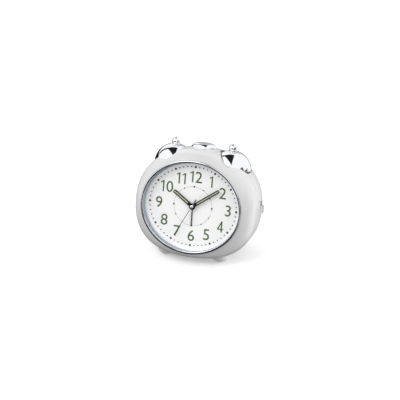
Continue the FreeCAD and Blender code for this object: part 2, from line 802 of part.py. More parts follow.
def make_striker_frame():
    """Two plates that hold the hammer's pivot pin and the coil's core between them."""
    plates = []
    half = striker_coil_length / 2 + striker_plate
    low = striker_coil_height - striker_coil_radius - striker_plate
    high = striker_pivot_height + striker_hub_radius + striker_plate
    for start in (striker_front() - striker_plate, striker_rear()):
        lower = box((-half, half), (start, start + striker_plate), (low, striker_coil_height))
        upper = box((-striker_hub_radius - striker_plate, striker_hub_radius + striker_plate),
                    (start, start + striker_plate), (striker_coil_height, high))
        plate = lower.fuse(upper)
        plate = plate.cut(rod(striker_pin_radius, start - overshoot, start + striker_plate + overshoot,
                              0, striker_pivot_height))
        plates.append(plate)
    tie = box((-half, half), (striker_front(), striker_rear()), (low, low + striker_plate))
    return plates[0].fuse(plates[1]).fuse(tie).removeSplitter()


def make_striker_pin():
    return rod(striker_pin_radius, striker_front() - striker_plate, striker_rear() + striker_plate,
               0, striker_pivot_height)


def make_striker_arm():
    """Flat arm that swings on the pin, with a tail between the magnet's poles."""
    low = striker_pivot_height - striker_tail
    high = striker_head_height
    start = parting - striker_arm_width / 2
    blade = box((-striker_arm_thickness / 2, striker_arm_thickness / 2),
                (start, start + striker_arm_width), (low, high))
    hub = rod(striker_hub_radius, start, start + striker_arm_width, 0, striker_pivot_height)
    bore = rod(striker_pin_radius + pivot_clearance,
               start - overshoot, start + striker_arm_width + overshoot,
               0, striker_pivot_height)
    return blade.fuse(hub).cut(bore).cut(make_striker_head())


def make_striker_head():
    """Round brass bar with domed ends that meets a bell at each end of its swing."""
    straight = striker_head_half_length - striker_head_radius
    bar = Part.makeCylinder(striker_head_radius, 2 * straight,
                            Vector(-straight, parting, striker_head_height), Vector(1, 0, 0))
    for side in (-1, 1):
        end = Vector(side * straight, parting, striker_head_height)
        bar = bar.fuse(Part.makeSphere(striker_head_radius, end))
    return bar.removeSplitter()


def make_striker_core():
    """Soft iron core with a pole piece rising at each end towards the hammer's tail."""
    half = striker_coil_length / 2
    start = parting - striker_arm_width / 2
    bar = Part.makeCylinder(striker_core_radius, 2 * half, Vector(-half, parting, striker_coil_height),
                            Vector(1, 0, 0))
    top = striker_pivot_height - striker_pole_drop
    for side in (-1, 1):
        outer = side * (half + striker_plate)
        inner = side * half
        upright = box(sorted((inner, outer)), (start, start + striker_arm_width),
                      (striker_coil_height - striker_core_radius, top))
        pole = box(sorted((side * striker_pole_half_gap, outer)), (start, start + striker_arm_width),
                   (top - striker_plate, top))
        bar = bar.fuse(upright).fuse(pole)
    return bar.removeSplitter()


def make_striker_coil():
    half = striker_coil_length / 2
    winding = striker_coil_radius - striker_winding_depth
    coil = Part.makeCylinder(winding, 2 * half, Vector(-half, parting, striker_coil_height),
                             Vector(1, 0, 0))
    for place in (-half, half - striker_flange):
        coil = coil.fuse(Part.makeCylinder(striker_coil_radius, striker_flange,
                                           Vector(place, parting, striker_coil_height), Vector(1, 0, 0)))
    bore = Part.makeCylinder(striker_core_radius, 2 * half, Vector(-half, parting, striker_coil_height),
                             Vector(1, 0, 0))
    return coil.cut(bore).removeSplitter()


def tooth_outline(teeth, module, phase):
    """Corner points of a wheel with straight-sided teeth, as (x, z) from its middle."""
    pitch = 2 * math.pi / teeth
    pitch_radius = teeth * module / 2
    root = pitch_radius - tooth_dedendum * module
    tip = pitch_radius + tooth_addendum * module
    flanks = ((root, -tooth_root_share), (tip, -tooth_tip_share),
              (tip, tooth_tip_share), (root, tooth_root_share))
    corners = []
    for i in range(teeth):
        middle = math.radians(phase) + i * pitch
        for radius, share in flanks:
            angle = middle + share * pitch
            corners.append((radius * math.cos(angle), radius * math.sin(angle)))
    return corners


def gear(teeth, module, start, end, at=(0.0, 0.0), phase=0.0):
    """A toothed wheel between two depths, a tooth's middle at the phase angle."""
    corners = [Vector(at[0] + x, start, at[1] + z) for x, z in tooth_outline(teeth, module, phase)]
    outline = Part.makePolygon(corners + corners[:1])
    return Part.Face(outline).extrude(Vector(0, end - start, 0))


def meshing_phase(direction, wheel_teeth, wheel_phase, pinion_teeth):
    """Phase of a pinion set off in a direction from a wheel, so that teeth meet gaps."""
    wheel_share = (direction - wheel_phase) / (360.0 / wheel_teeth)
    pinion_pitch = 360.0 / pinion_teeth
    return direction + 180.0 - pinion_pitch * (0.5 - wheel_share)


# Depths of the movement's layers, front to back
alarm_layer = wall_back + wall_gap
alarm_layer_end = alarm_layer + motion_wheel
hour_layer = alarm_layer_end + layer_gap
hour_layer_end = hour_layer + motion_wheel
minute_layer = hour_layer_end + motion_gap
minute_layer_end = minute_layer + motion_wheel
middle_plate = minute_layer_end + middle_plate_gap
middle_plate_back = middle_plate + middle_plate_thickness
centre_layer = middle_plate_back + train_gaps[0]
centre_layer_end = centre_layer + train_wheel
third_layer = centre_layer_end + train_gaps[1]
third_layer_end = third_layer + train_wheel
second_layer = third_layer_end + train_gaps[2]
second_layer_end = second_layer + thin_wheel
intermediate_layer = second_layer_end + train_gaps[3]
intermediate_layer_end = intermediate_layer + thin_wheel
stator_front = middle_plate_back + stator_lift
coil_low = movement_bottom + movement_wall + coil_lift
centre_pipe_bore = arbor_radius + shaft_clearance
centre_pipe = centre_pipe_bore + centre_pipe_wall
cannon_bore = centre_pipe + pivot_clearance
cannon_pipe = cannon_bore + pipe_wall
hour_bore = cannon_pipe + pipe_gap
hour_pipe = hour_bore + pipe_wall
alarm_bore = hour_pipe + pipe_gap
alarm_pipe = alarm_bore + pipe_wall
arbor_front = middle_plate + pivot_end_gap
arbor_rear = cover_back - pivot_rear_gap


def module_of(distance, first, second):
    """Module that puts two wheels in mesh at a distance."""
    return 2 * distance / (first + second)


def make_alarm_wheel():
    module = module_of(alarm_distance, alarm_wheel_teeth, alarm_pinion_teeth)
    wheel = gear(alarm_wheel_teeth, module, alarm_layer, alarm_layer_end)
    pipe = rod(alarm_pipe, alarm_hand_depth, alarm_layer_end)
    return wheel.fuse(pipe).cut(rod(alarm_bore, 2 * alarm_hand_depth, alarm_layer_end + overshoot))


def make_hour_wheel():
    module = module_of(motion_distance, minute_pinion_teeth, hour_wheel_teeth)
    phase = minute_wheel_angle + 180.0 / hour_wheel_teeth
    wheel = gear(hour_wheel_teeth, module, hour_layer, hour_layer_end, phase=phase)
    pipe = rod(hour_pipe, hour_hand_depth, hour_layer_end)
    return wheel.fuse(pipe).cut(rod(hour_bore, 2 * hour_hand_depth, hour_layer_end + overshoot))


def make_cannon_pinion():
    module = module_of(motion_distance, cannon_teeth, minute_wheel_teeth)
    pinion = gear(cannon_teeth, module, minute_layer - pinion_overlap, minute_layer_end + pinion_overlap,
                  phase=minute_wheel_angle)
    pipe = rod(cannon_pipe, minute_hand_depth, minute_layer_end)
    return pinion.fuse(pipe).cut(rod(cannon_bore, 2 * minute_hand_depth, minute_layer_end + overshoot))


def minute_disc_phase():
    return minute_wheel_angle + 180.0 + 180.0 / minute_wheel_teeth


def make_minute_wheel():
    """Wheel and pinion in one, turning on a stud of the middle plate."""
    wheel = gear(minute_wheel_teeth, module_of(motion_distance, cannon_teeth, minute_wheel_teeth),
                 minute_layer, minute_layer_end, minute_wheel_at, minute_disc_phase())
    pinion = gear(minute_pinion_teeth, module_of(motion_distance, minute_pinion_teeth, hour_wheel_teeth),
                  hour_layer - pinion_overlap, minute_layer, minute_wheel_at, minute_wheel_angle + 180.0)
    bore = rod(arbor_radius + pivot_clearance, 0, cover_back, *minute_wheel_at)
    return wheel.fuse(pinion).cut(bore)


def make_time_set_pinion():
    phase = meshing_phase(set_pinion_angle, minute_wheel_teeth, minute_disc_phase(), set_pinion_teeth)
    pinion = gear(set_pinion_teeth, set_module,
                  minute_layer - pinion_overlap, minute_layer_end + pinion_overlap, set_pinion_at, phase)
    return pinion.fuse(rod(shaft_radius, minute_layer_end, case_rear, *set_pinion_at))


def make_alarm_set_pinion():
    module = module_of(alarm_distance, alarm_wheel_teeth, alarm_pinion_teeth)
    phase = meshing_phase(alarm_pinion_angle, alarm_wheel_teeth, 0.0, alarm_pinion_teeth)
    pinion = gear(alarm_pinion_teeth, module, alarm_layer, alarm_layer_end, alarm_pinion_at, phase)
    return pinion.fuse(rod(shaft_radius, alarm_layer_end, case_rear, *alarm_pinion_at))


def make_centre_wheel():
    module = module_of(train_distance, centre_wheel_teeth, train_pinion_teeth)
    wheel = gear(centre_wheel_teeth, module, centre_layer, centre_layer_end,
                 phase=third_wheel_angle + 180.0 / centre_wheel_teeth)
    pipe = rod(centre_pipe, minute_hand_depth + hand_thickness, centre_layer_end)
    return wheel.fuse(pipe).cut(rod(centre_pipe_bore, 2 * minute_hand_depth, cover_back))


def make_third_wheel():
    wheel = gear(third_wheel_teeth, module_of(train_distance, third_wheel_teeth, train_pinion_teeth),
                 third_layer, third_layer_end, third_wheel_at,
                 third_wheel_angle + 180.0 + 180.0 / third_wheel_teeth)
    pinion = gear(train_pinion_teeth, module_of(train_distance, centre_wheel_teeth, train_pinion_teeth),
                  centre_layer - pinion_overlap, third_layer, third_wheel_at, third_wheel_angle + 180.0)
    arbor = rod(arbor_radius, arbor_front, arbor_rear, *third_wheel_at)
    return wheel.fuse(pinion).fuse(arbor)


def make_second_wheel():
    """Wheel, pinion and the thin arbor that carries the second hand."""
    wheel = gear(second_wheel_teeth, module_of(train_distance, second_wheel_teeth, train_pinion_teeth),
                 second_layer, second_layer_end, phase=intermediate_angle + 180.0 / second_wheel_teeth)
    pinion = gear(train_pinion_teeth, module_of(train_distance, third_wheel_teeth, train_pinion_teeth),
                  third_layer - pinion_overlap, second_layer, phase=third_wheel_angle)
    arbor = rod(arbor_radius, second_hand_depth, arbor_rear)
    return wheel.fuse(pinion).fuse(arbor)


def make_intermediate_wheel():
    phase = intermediate_angle + 180.0
    pinion = gear(train_pinion_teeth, module_of(train_distance, second_wheel_teeth, train_pinion_teeth),
                  second_layer - pinion_overlap, intermediate_layer, intermediate_at, phase)
    module = module_of(rotor_distance, intermediate_wheel_teeth, train_pinion_teeth)
    wheel = gear(intermediate_wheel_teeth, module, intermediate_layer, intermediate_layer_end,
                 intermediate_at, rotor_angle + 180.0 / intermediate_wheel_teeth)
    arbor = rod(arbor_radius, arbor_front, arbor_rear, *intermediate_at)
    return wheel.fuse(pinion).fuse(arbor)


def make_rotor():
    module = module_of(rotor_distance, intermediate_wheel_teeth, train_pinion_teeth)
    pinion = gear(train_pinion_teeth, module, intermediate_layer - pinion_overlap,
                  intermediate_layer_end + pinion_overlap,
                  rotor_at, rotor_angle + 180.0)
    magnet = rod(rotor_magnet_radius, stator_front - magnet_overhang,
                 stator_front + stator_thickness + magnet_overhang, *rotor_at)
    arbor = rod(arbor_radius, arbor_front, arbor_rear, *rotor_at)
    return pinion.fuse(magnet).fuse(arbor)


def make_stator():
    """Iron loop that leads the coil's field round the rotor, on small feet of its own."""
    x, z = rotor_at
    sideways, down, up = stator_yoke
    depth = (stator_front, stator_front + stator_thickness)
    inner = (coil_span[0] - stator_coil_gap, coil_span[1] + stator_coil_gap)
    outer = (inner[0] - stator_leg, inner[1] + stator_leg)
    low = coil_low - stator_bar / 2
    block = box((x - sideways, x + sideways), depth, (z - down, z + up))
    left = box((outer[0], inner[0]), depth, (low, z))
    bar = box(outer, depth, (low, low + stator_bar))
    right = box((inner[1], outer[1]), depth, (low, z - down + stator_link))
    link = box((x, outer[1]), depth, (z - down, z - down + stator_link))
    loop = block.fuse(left).fuse(bar).fuse(right).fuse(link)
    for place in (inner[0] - stator_leg / 2, inner[1] + stator_leg / 2):
        loop = loop.fuse(rod(stator_foot_radius, middle_plate_back, stator_front, place, coil_low))
    loop = loop.cut(rod(rotor_magnet_radius + magnet_gap, 0, cover_back, x, z))
    centre_module = module_of(train_distance, centre_wheel_teeth, train_pinion_teeth)
    centre_tip = centre_module * (centre_wheel_teeth / 2 + tooth_addendum)
    return loop.cut(rod(centre_tip + magnet_gap, 0, cover_back)).removeSplitter()


def make_drive_coil():
    middle = stator_front + stator_thickness / 2
    start, end = coil_span
    coil = Part.makeCylinder(drive_coil_radius, end - start, Vector(start, middle, coil_low),
                             Vector(1, 0, 0))
    core = box((start - overshoot, end + overshoot), (stator_front, stator_front + stator_thickness),
               (coil_low - stator_bar / 2, coil_low + stator_bar / 2))
    return coil.cut(core)


def make_movement_base():
    """Front wall, side walls and the ears that are screwed to the case's web."""
    outside = box((-movement_half_width, movement_half_width), (wall_front, cover_front),
                  (movement_bottom, movement_top))
    inside = box((-movement_half_width + movement_wall, movement_half_width - movement_wall),
                 (wall_back, cover_front + overshoot),
                 (movement_bottom + movement_wall, movement_top - movement_wall))
    tray = outside.cut(inside)
    for x, z in ear_places():
        ear = rod(movement_ear, wall_front, wall_front + 2 * movement_wall, x, z)
        tray = tray.fuse(ear.cut(inside)).cut(rod(movement_screw_radius, 0, cover_front, x, z))
    tray = tray.cut(rod(alarm_pipe + pipe_gap, wall_front - overshoot, wall_back + overshoot))
    return tray.removeSplitter()


def ear_places():
    """Where the movement's screws go, outside its side walls."""
    reach = movement_half_width + movement_ear / 2
    return [(side * reach, z) for side in (-1, 1)
            for z in (movement_bottom + movement_ear_drop, movement_top - movement_ear_drop)]


def make_middle_plate():
    """Thin plate with the bearings of the going train and the minute wheel's stud."""
    edge = movement_half_width - movement_wall
    plate = box((-edge, edge), (middle_plate, middle_plate_back),
                (movement_bottom + movement_wall, movement_top - movement_wall))
    plate = plate.fuse(rod(arbor_radius, hour_layer, middle_plate, *minute_wheel_at))
    for x, z in (third_wheel_at, intermediate_at, rotor_at):
        plate = plate.cut(rod(arbor_radius + pivot_clearance, 0, cover_back, x, z))
    for x, z in (set_pinion_at, alarm_pinion_at):
        plate = plate.cut(rod(shaft_radius + shaft_clearance, 0, cover_back, x, z))
    around_coil = drive_coil_radius + coil_window_gap
    plate = plate.cut(box((coil_span[0] - coil_window_gap, coil_span[1] + coil_window_gap), (0, cover_back),
                          (coil_low - around_coil, coil_low + around_coil)))
    return plate.cut(rod(centre_pipe + pivot_clearance, 0, cover_back))


def make_movement_cover():
    plate = box((-movement_half_width, movement_half_width), (cover_front, cover_back),
                (movement_bottom, movement_top))
    bores = [(arbor_radius + pivot_clearance, at)
             for at in ((0.0, 0.0), third_wheel_at, intermediate_at, rotor_at)]
    bores += [(shaft_radius + shaft_clearance, at) for at in (set_pinion_at, alarm_pinion_at)]
    for radius, at in bores:
        plate = plate.cut(rod(radius, cover_front - overshoot, cover_back + overshoot, *at))
    for side in (-1, 1):
        plate = plate.fuse(rod(standoff_radius, cover_back, striker_front() - striker_plate,
                               side * standoff_x, standoff_height))
    return plate


def make_circuit_board():
    """Board under the cover, with the chip's blob and the timing crystal's can."""
    back = cover_front
    front = back - board_thickness
    board = box(board_span[0], (front, back), board_span[1])
    x = sum(board_span[0]) / 2
    reach = 2 * chip_sphere
    blob = Part.makeSphere(chip_sphere, Vector(x, front + chip_sunk, chip_height))
    room = box((x - reach, x + reach), (front - reach, front), (chip_height - reach, chip_height + reach))
    chip = blob.common(room)
    can = Part.makeCylinder(crystal_radius, crystal_length,
                            Vector(x, front - crystal_radius + crystal_sunk, crystal_low), Vector(0, 0, 1))
    return board.fuse(chip).fuse(can)


def make_alarm_contact():
    """Bent spring leaf on the front wall, pressed when the alarm trips."""
    outer = movement_half_width - movement_wall
    bend = outer - contact_foot[0]
    top = wall_back + contact_rise
    half = contact_leaf[1] / 2
    foot_part = box((bend, outer), (wall_back, wall_back + contact_strip),
                    (-contact_foot[1] / 2, contact_foot[1] / 2))
    riser = box((bend, bend + contact_strip), (wall_back, top), (-half, half))
    leaf = box((bend - contact_leaf[0], bend + contact_strip), (top - contact_strip, top), (-half, half))
    return foot_part.fuse(riser).fuse(leaf)


def point_clockwise(shape, angle):
    shape.rotate(Vector(0, 0, 0), Vector(0, 1, 0), angle)
    return shape


def rounded_bar(width, start, end, depth, thickness):
    """A flat bar up the dial with round ends."""
    half = width / 2
    bar = box((-half, half), (depth, depth + thickness), (start, end - half))
    return bar.fuse(rod(half, depth, depth + thickness, 0, end - half)).removeSplitter()


def strip_of(length, width, depth):
    """The luminous strip that fills a hand's slot."""
    inner = width - 2 * hand_border
    strip = rounded_bar(inner, hand_neck, length - hand_border, depth, hand_thickness)
    return strip.fuse(rod(inner / 2, depth, depth + hand_thickness, 0, hand_neck)).removeSplitter()


def framed_hand(length, width, depth, bore):
    hand = rounded_bar(width, 0, length, depth, hand_thickness)
    hub = rod(hand_hub_radius, depth, depth + hand_thickness)
    hand = hand.fuse(hub).cut(strip_of(length, width, depth))
    return hand.cut(rod(bore, depth - overshoot, depth + overshoot)).removeSplitter()


def make_hour_hand():
    return point_clockwise(framed_hand(hour_length, hour_width, hour_hand_depth, hour_pipe), hour_angle)


def make_minute_hand():
    hand = framed_hand(minute_length, minute_width, minute_hand_depth, cannon_pipe)
    return point_clockwise(hand, minute_angle)


def make_hour_strip():
    return point_clockwise(strip_of(hour_length, hour_width, hour_hand_depth), hour_angle)


def make_minute_strip():
    return point_clockwise(strip_of(minute_length, minute_width, minute_hand_depth), minute_angle)


def make_second_hand():
    """Thin pointer with a tail, and the bright cap at the middle."""
    pointer = rounded_bar(second_width, 0, second_length, second_hand_depth, hand_thickness)
    tail = rounded_bar(second_tail_width, 0, second_tail, second_hand_depth, hand_thickness)
    tail.rotate(Vector(0, 0, 0), Vector(0, 1, 0), 180)
    hub = rod(cap_radius, second_hand_depth - cap_height + cap_edge, second_hand_depth + hand_thickness)
    dome = Part.makeSphere(2 * cap_radius, Vector(0, second_hand_depth - cap_height + 2 * cap_radius, 0))
    cap = dome.common(rod(cap_radius, second_hand_depth - cap_height, second_hand_depth))
    hand = pointer.fuse(tail).fuse(hub.common(dome)).fuse(cap)
    hand = hand.cut(rod(arbor_radius, second_hand_depth, second_hand_depth + overshoot))
    return point_clockwise(hand.removeSplitter(), second_angle)


def make_alarm_hand():
    hand = rounded_bar(alarm_width, 0, alarm_length, alarm_hand_depth, hand_thickness)
    hub = rod(alarm_pipe + alarm_hub_margin, alarm_hand_depth, alarm_hand_depth + hand_thickness)
    hand = hand.fuse(hub).cut(rod(alarm_pipe, alarm_hand_depth - overshoot, alarm_hand_depth + overshoot))
    return point_clockwise(hand.removeSplitter(), alarm_angle)


def make_rear_knob(at):
    """Fluted knob in a recess of the back."""
    floor = case_rear - knob_recess_depth
    start = floor + knob_air
    knob = rod(knob_radius, start, start + knob_height, *at)
    rims = [edge for edge in knob.Edges if edge.Length > math.pi * knob_radius]
    knob = knob.makeChamfer(knob_chamfer, rims)
    for i in range(knob_flutes):
        x, z = around(360.0 * i / knob_flutes, knob_radius, at)
        knob = knob.cut(rod(knob_flute_radius, start - overshoot, start + knob_height + overshoot, x, z))
    return knob.cut(rod(shaft_radius, start - overshoot, case_rear, *at))


def switch_side(depth):
    """Where the case's side stands at the alarm switch."""
    return swell(depth, front_half_width, side_peak, rear_half_width)


def make_switch_knob():
    """Ribbed thumb piece of the alarm's on-off slide, at the lower end of its slot."""
    x = switch_side(switch_depth)
    middle = switch_height - switch_travel / 2
    half_width = switch_knob_width / 2
    half_height = switch_knob_height / 2
    face = x + switch_knob_proud
    knob = box((x - case_wall - switch_neck, face),
               (switch_depth - half_width, switch_depth + half_width),
               (middle - half_height, middle + half_height))
    front_edges = [edge for edge in knob.Edges if min(v.Point.x for v in edge.Vertexes) > x]
    knob = knob.makeFillet(switch_knob_fillet, front_edges)
    for step in (-1, 0, 1):
        knob = knob.cut(rod(switch_groove_radius, switch_depth - switch_knob_width,
                            switch_depth + switch_knob_width, face, middle + step * switch_groove_step))
    return knob


def make_switch_slider():
    """Flat tongue behind the thumb piece that moves the contacts."""
    x = switch_side(switch_depth) - case_wall - switch_neck
    middle = switch_height - switch_travel / 2
    return box((x - switch_tongue, x),
               (switch_depth - switch_knob_width / 2, switch_depth + switch_knob_width / 2),
               (middle - switch_knob_height / 2, middle + switch_knob_height / 2))


def make_switch_body():
    """Switch housing against the inside of the case, with the track for the tongue."""
    width, depth, height = switch_body
    x = switch_side(switch_depth) - case_wall - switch_body_gap
    middle = switch_depth + switch_body_offset
    body = box((x - width, x), (middle - depth / 2, middle + depth / 2),
               (switch_height - height / 2, switch_height + height / 2))
    half_height = (switch_knob_height + switch_travel) / 2 + switch_clearance
    half_depth = switch_knob_width / 2 + switch_clearance
    track = box((x - switch_track, x + overshoot), (switch_depth - half_depth, switch_depth + half_depth),
                (switch_height - half_height, switch_height + half_height))
    return body.common(inner_form).cut(track)


def make_cell(height, direction):
    """One finger cell lying across the clock, its nub at the given side."""
    half = cell_length / 2
    can = Part.makeCylinder(cell_radius, cell_length, Vector(-half, cell_depth, height), Vector(1, 0, 0))
    start = half if direction > 0 else -half - cell_nub_length
    nub = Part.makeCylinder(cell_nub_radius, cell_nub_length, Vector(start, cell_depth, height),
                            Vector(1, 0, 0))
    return can.fuse(nub)


def cell_heights():
    step = cell_radius + cell_gap / 2
    return cells_middle + step, cells_middle - step


def make_battery_upper():
    return make_cell(cell_heights()[0], 1)


def make_battery_lower():
    return make_cell(cell_heights()[1], -1)


def spring_path():
    """Line of a coned coil that rises along Z, wider as it rises."""
    narrow, wide = spring_radii
    steps = int(spring_turns * spring_steps)
    points = []
    for i in range(steps + 1):
        share = i / steps
        radius = narrow + (wide - narrow) * share
        turn = 2 * math.pi * spring_turns * share
        rise = (bay_end_room - spring_wire) * share
        points.append(Vector(radius * math.cos(turn), radius * math.sin(turn), rise))
    return points


def make_battery_springs():
    """Coned coil springs that press on the flat end of each cell."""
    points = spring_path()
    section = Part.Wire([Part.Circle(points[0], points[1] - points[0], spring_wire / 2).toShape()])
    coil = Part.makePolygon(points).makePipeShell([section], True, False, mitred)
    solids = []
    for height, side in zip(cell_heights(), (-1, 1)):
        spring = coil.copy()
        start = Vector(side * (cell_length + spring_wire) / 2, cell_depth, height)
        spring.Placement = Placement(start, Rotation(Vector(0, 0, 1), Vector(side, 0, 0)))
        solids.append(spring)
    return Part.makeCompound(solids)


def make_battery_contacts():
    """Flat contacts that meet the cells' nubs."""
    solids = []
    for height, side in zip(cell_heights(), (1, -1)):
        inner = side * (cell_length / 2 + cell_nub_length)
        outer = side * bay_half_length
        plate = box(sorted((inner, outer)),
                    (cell_depth - contact_half_size, cell_depth + contact_half_size),
                    (height - contact_half_size, height + contact_half_size))
        solids.append(plate)
    return Part.makeCompound(solids)


def make_battery_door():
    """Door with a thumb catch, flush with the back."""
    plate = door_block(0.0).common(outer_form)
    half, height, depth = door_notch
    top = bays_top + door_overlap - door_notch_edge
    notch = box((-half, half), (case_rear - depth, case_rear + overshoot), (top - height, top))
    plate = plate.cut(notch)
    width, rise = door_rib
    for side in (-1, 1):
        x = side * bay_half_length / 2
        rib = box((x - width / 2, x + width / 2), (door_front - rise, door_front),
                  (bays_bottom + door_overlap, bays_top - door_overlap))
        plate = plate.fuse(rib)
    return plate.removeSplitter()


def make_case_screws():
    solids = []
    for x, z in boss_places():
        head = rod(screw_head_radius, screw_seat, screw_seat + screw_head_height, x, z)
        shank = rod(screw_radius, web_back + 2 * case_wall, screw_seat, x, z)
        screw = head.fuse(shank)
        slot_floor = screw_seat + screw_head_height - screw_slot_depth
        for half_x, half_z in (screw_slot, screw_slot[::-1]):
            slot = box((x - half_x, x + half_x), (slot_floor, case_rear), (z - half_z, z + half_z))
            screw = screw.cut(slot)
        solids.append(screw)
    return Part.makeCompound(solids)


def make_movement_screws():
    solids = []
    seat = wall_front + 2 * movement_wall
    for x, z in ear_places():
        head = rod(movement_screw_head_radius, seat, seat + movement_screw_head_height, x, z)
        solids.append(head.fuse(rod(movement_screw_radius, web_back - movement_screw_grip, seat, x, z)))
    return Part.makeCompound(solids)


def make_foot_pads():
    pads = []
    for x, depth in ((front_foot_x, front_foot_depth), (rear_foot_x, rear_foot_depth)):
        pads += both_sides(foot_pad(x, depth))
    return Part.makeCompound(pads)


def all_pieces():
    right_bell, left_bell = both_sides(make_bell())
    right_post, left_post = both_sides(make_bell_post())
    right_knob, left_knob = both_sides(make_bell_knob())
    screw_holes = make_movement_screws()
    return {
        "front_shell": make_front_shell().cut(screw_holes),
        "rear_cover": make_rear_cover(),
        "bezel_ring": make_bezel_ring(),
        "lens": make_lens(),
        "dial_flange": make_dial_flange(),
        "dial": make_dial(),
        "bell_left": left_bell,
        "bell_right": right_bell,
        "bell_post_left": left_post,
        "bell_post_right": right_post,
        "bell_knob_left": left_knob,
        "bell_knob_right": right_knob,
        "snooze_button": make_snooze_button(),
        "snooze_plunger": make_snooze_plunger(),
        "snooze_switch": make_snooze_switch(),
        "striker_frame": make_striker_frame(),
        "striker_pin": make_striker_pin(),
        "striker_arm": make_striker_arm(),
        "striker_head": make_striker_head(),
        "striker_core": make_striker_core(),
        "striker_coil": make_striker_coil(),
        "movement_base": make_movement_base(),
        "middle_plate": make_middle_plate(),
        "movement_cover": make_movement_cover(),
        "alarm_wheel": make_alarm_wheel(),
        "hour_wheel": make_hour_wheel(),
        "cannon_pinion": make_cannon_pinion(),
        "minute_wheel": make_minute_wheel(),
        "centre_wheel": make_centre_wheel(),
        "third_wheel": make_third_wheel(),
        "second_wheel": make_second_wheel(),
        "intermediate_wheel": make_intermediate_wheel(),
        "rotor": make_rotor(),
        "stator": make_stator(),
        "drive_coil": make_drive_coil(),
        "circuit_board": make_circuit_board(),
        "alarm_contact": make_alarm_contact(),
        "time_set_pinion": make_time_set_pinion(),
        "alarm_set_pinion": make_alarm_set_pinion(),
        "time_set_knob": make_rear_knob(set_pinion_at),
        "alarm_set_knob": make_rear_knob(alarm_pinion_at),
        "alarm_hand": make_alarm_hand(),
        "hour_hand": make_hour_hand(),
        "hour_hand_strip": make_hour_strip(),
        "minute_hand": make_minute_hand(),
        "minute_hand_strip": make_minute_strip(),
        "second_hand": make_second_hand(),
        "switch_knob": make_switch_knob(),
        "switch_slider": make_switch_slider(),
        "switch_body": make_switch_body(),
        "battery_upper": make_battery_upper(),
        "battery_lower": make_battery_lower(),
        "battery_springs": make_battery_springs(),
        "battery_contacts": make_battery_contacts(),
        "battery_door": make_battery_door(),
        "case_screws": make_case_screws(),
        "movement_screws": make_movement_screws(),
        "foot_pads": make_foot_pads(),
    }


def standing_placement(pieces):
    """Leans the clock back on its feet and puts the middle of its base at the origin."""
    lean = Placement(Vector(0, 0, 0), Rotation(Vector(1, 0, 0), -lean_back))
    leaned = Part.makeCompound(list(pieces.values()))
    leaned.Placement = lean
    limits = leaned.optimalBoundingBox(False, False)
    shift = Vector(-(limits.XMin + limits.XMax) / 2, -(limits.YMin + limits.YMax) / 2, -limits.ZMin)
    return Placement(shift, lean.Rotation)


def main():
    os.makedirs("parts", exist_ok=True)
    pieces = all_pieces()
    stand = standing_placement(pieces)
    for name, shape in pieces.items():
        stood = shape.copy()
        stood.Placement = stand.multiply(stood.Placement)
        stood.exportStep("parts/" + name + ".step")


main()
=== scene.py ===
import json
import math

import bmesh
import bpy
from mathutils import Matrix, Vector


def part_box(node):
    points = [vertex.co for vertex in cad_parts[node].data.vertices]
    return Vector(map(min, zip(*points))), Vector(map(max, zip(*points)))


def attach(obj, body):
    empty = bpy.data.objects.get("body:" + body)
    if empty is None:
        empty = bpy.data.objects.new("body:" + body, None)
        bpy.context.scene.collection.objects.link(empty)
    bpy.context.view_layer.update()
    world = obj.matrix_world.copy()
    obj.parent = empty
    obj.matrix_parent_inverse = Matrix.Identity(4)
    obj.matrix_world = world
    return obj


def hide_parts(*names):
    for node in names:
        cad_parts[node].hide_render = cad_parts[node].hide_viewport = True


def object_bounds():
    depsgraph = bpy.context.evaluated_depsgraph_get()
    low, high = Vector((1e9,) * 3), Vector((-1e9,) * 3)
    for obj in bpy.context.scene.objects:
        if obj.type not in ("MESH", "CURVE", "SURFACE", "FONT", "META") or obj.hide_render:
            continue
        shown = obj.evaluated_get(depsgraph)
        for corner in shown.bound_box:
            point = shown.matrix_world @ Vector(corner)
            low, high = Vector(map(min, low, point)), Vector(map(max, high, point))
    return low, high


# An analog alarm clock with two bells, dressed for a plain pale studio.
# New pieces are drawn in millimetres in the dial's own frame: X to the right, Y into the case,
# Z up the dial, with the origin at the middle of the dial's front. CLOCK carries them to the
# world, in metres.

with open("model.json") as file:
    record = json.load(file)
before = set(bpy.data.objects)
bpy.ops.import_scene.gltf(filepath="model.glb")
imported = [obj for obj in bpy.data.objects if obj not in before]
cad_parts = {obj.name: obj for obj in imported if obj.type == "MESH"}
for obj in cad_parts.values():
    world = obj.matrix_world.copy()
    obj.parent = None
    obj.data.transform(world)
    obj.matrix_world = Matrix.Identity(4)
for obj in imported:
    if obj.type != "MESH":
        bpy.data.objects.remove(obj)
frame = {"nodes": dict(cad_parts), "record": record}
size_at_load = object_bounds()
SLOTS = {part["node"]: part["material_slot"] for part in frame["record"]["subparts"]}

MM = 0.001
LEAN = math.radians(14.4)    # how far the dial leans back
DIAL_THICKNESS = 0.6
INWARD = Vector((0, math.cos(LEAN), -math.sin(LEAN)))
LEFTWARD = Vector((-1, 0, 0))
dial_low, dial_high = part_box("dial")
DIAL_MIDDLE = (dial_low + dial_high) / 2 - INWARD * (DIAL_THICKNESS * MM / 2)
CLOCK = Matrix.Translation(DIAL_MIDDLE) @ Matrix.Rotation(-LEAN, 4, "X") @ Matrix.Scale(MM, 4)
UPRIGHT = Matrix.Rotation(math.pi / 2, 3, "X")   # stands flat work up, to face the viewer


# Camera

CAMERA_TURN = math.radians(17.62)
CAMERA_RISE = math.radians(25.8)
CAMERA_DISTANCE = 1.56828
CAMERA_SHIFT = (0.0072294, 0.0062403)
SENSOR_WIDTH = 36
FRAME_PIXELS = 400
FOCAL_PIXELS = 1561.26


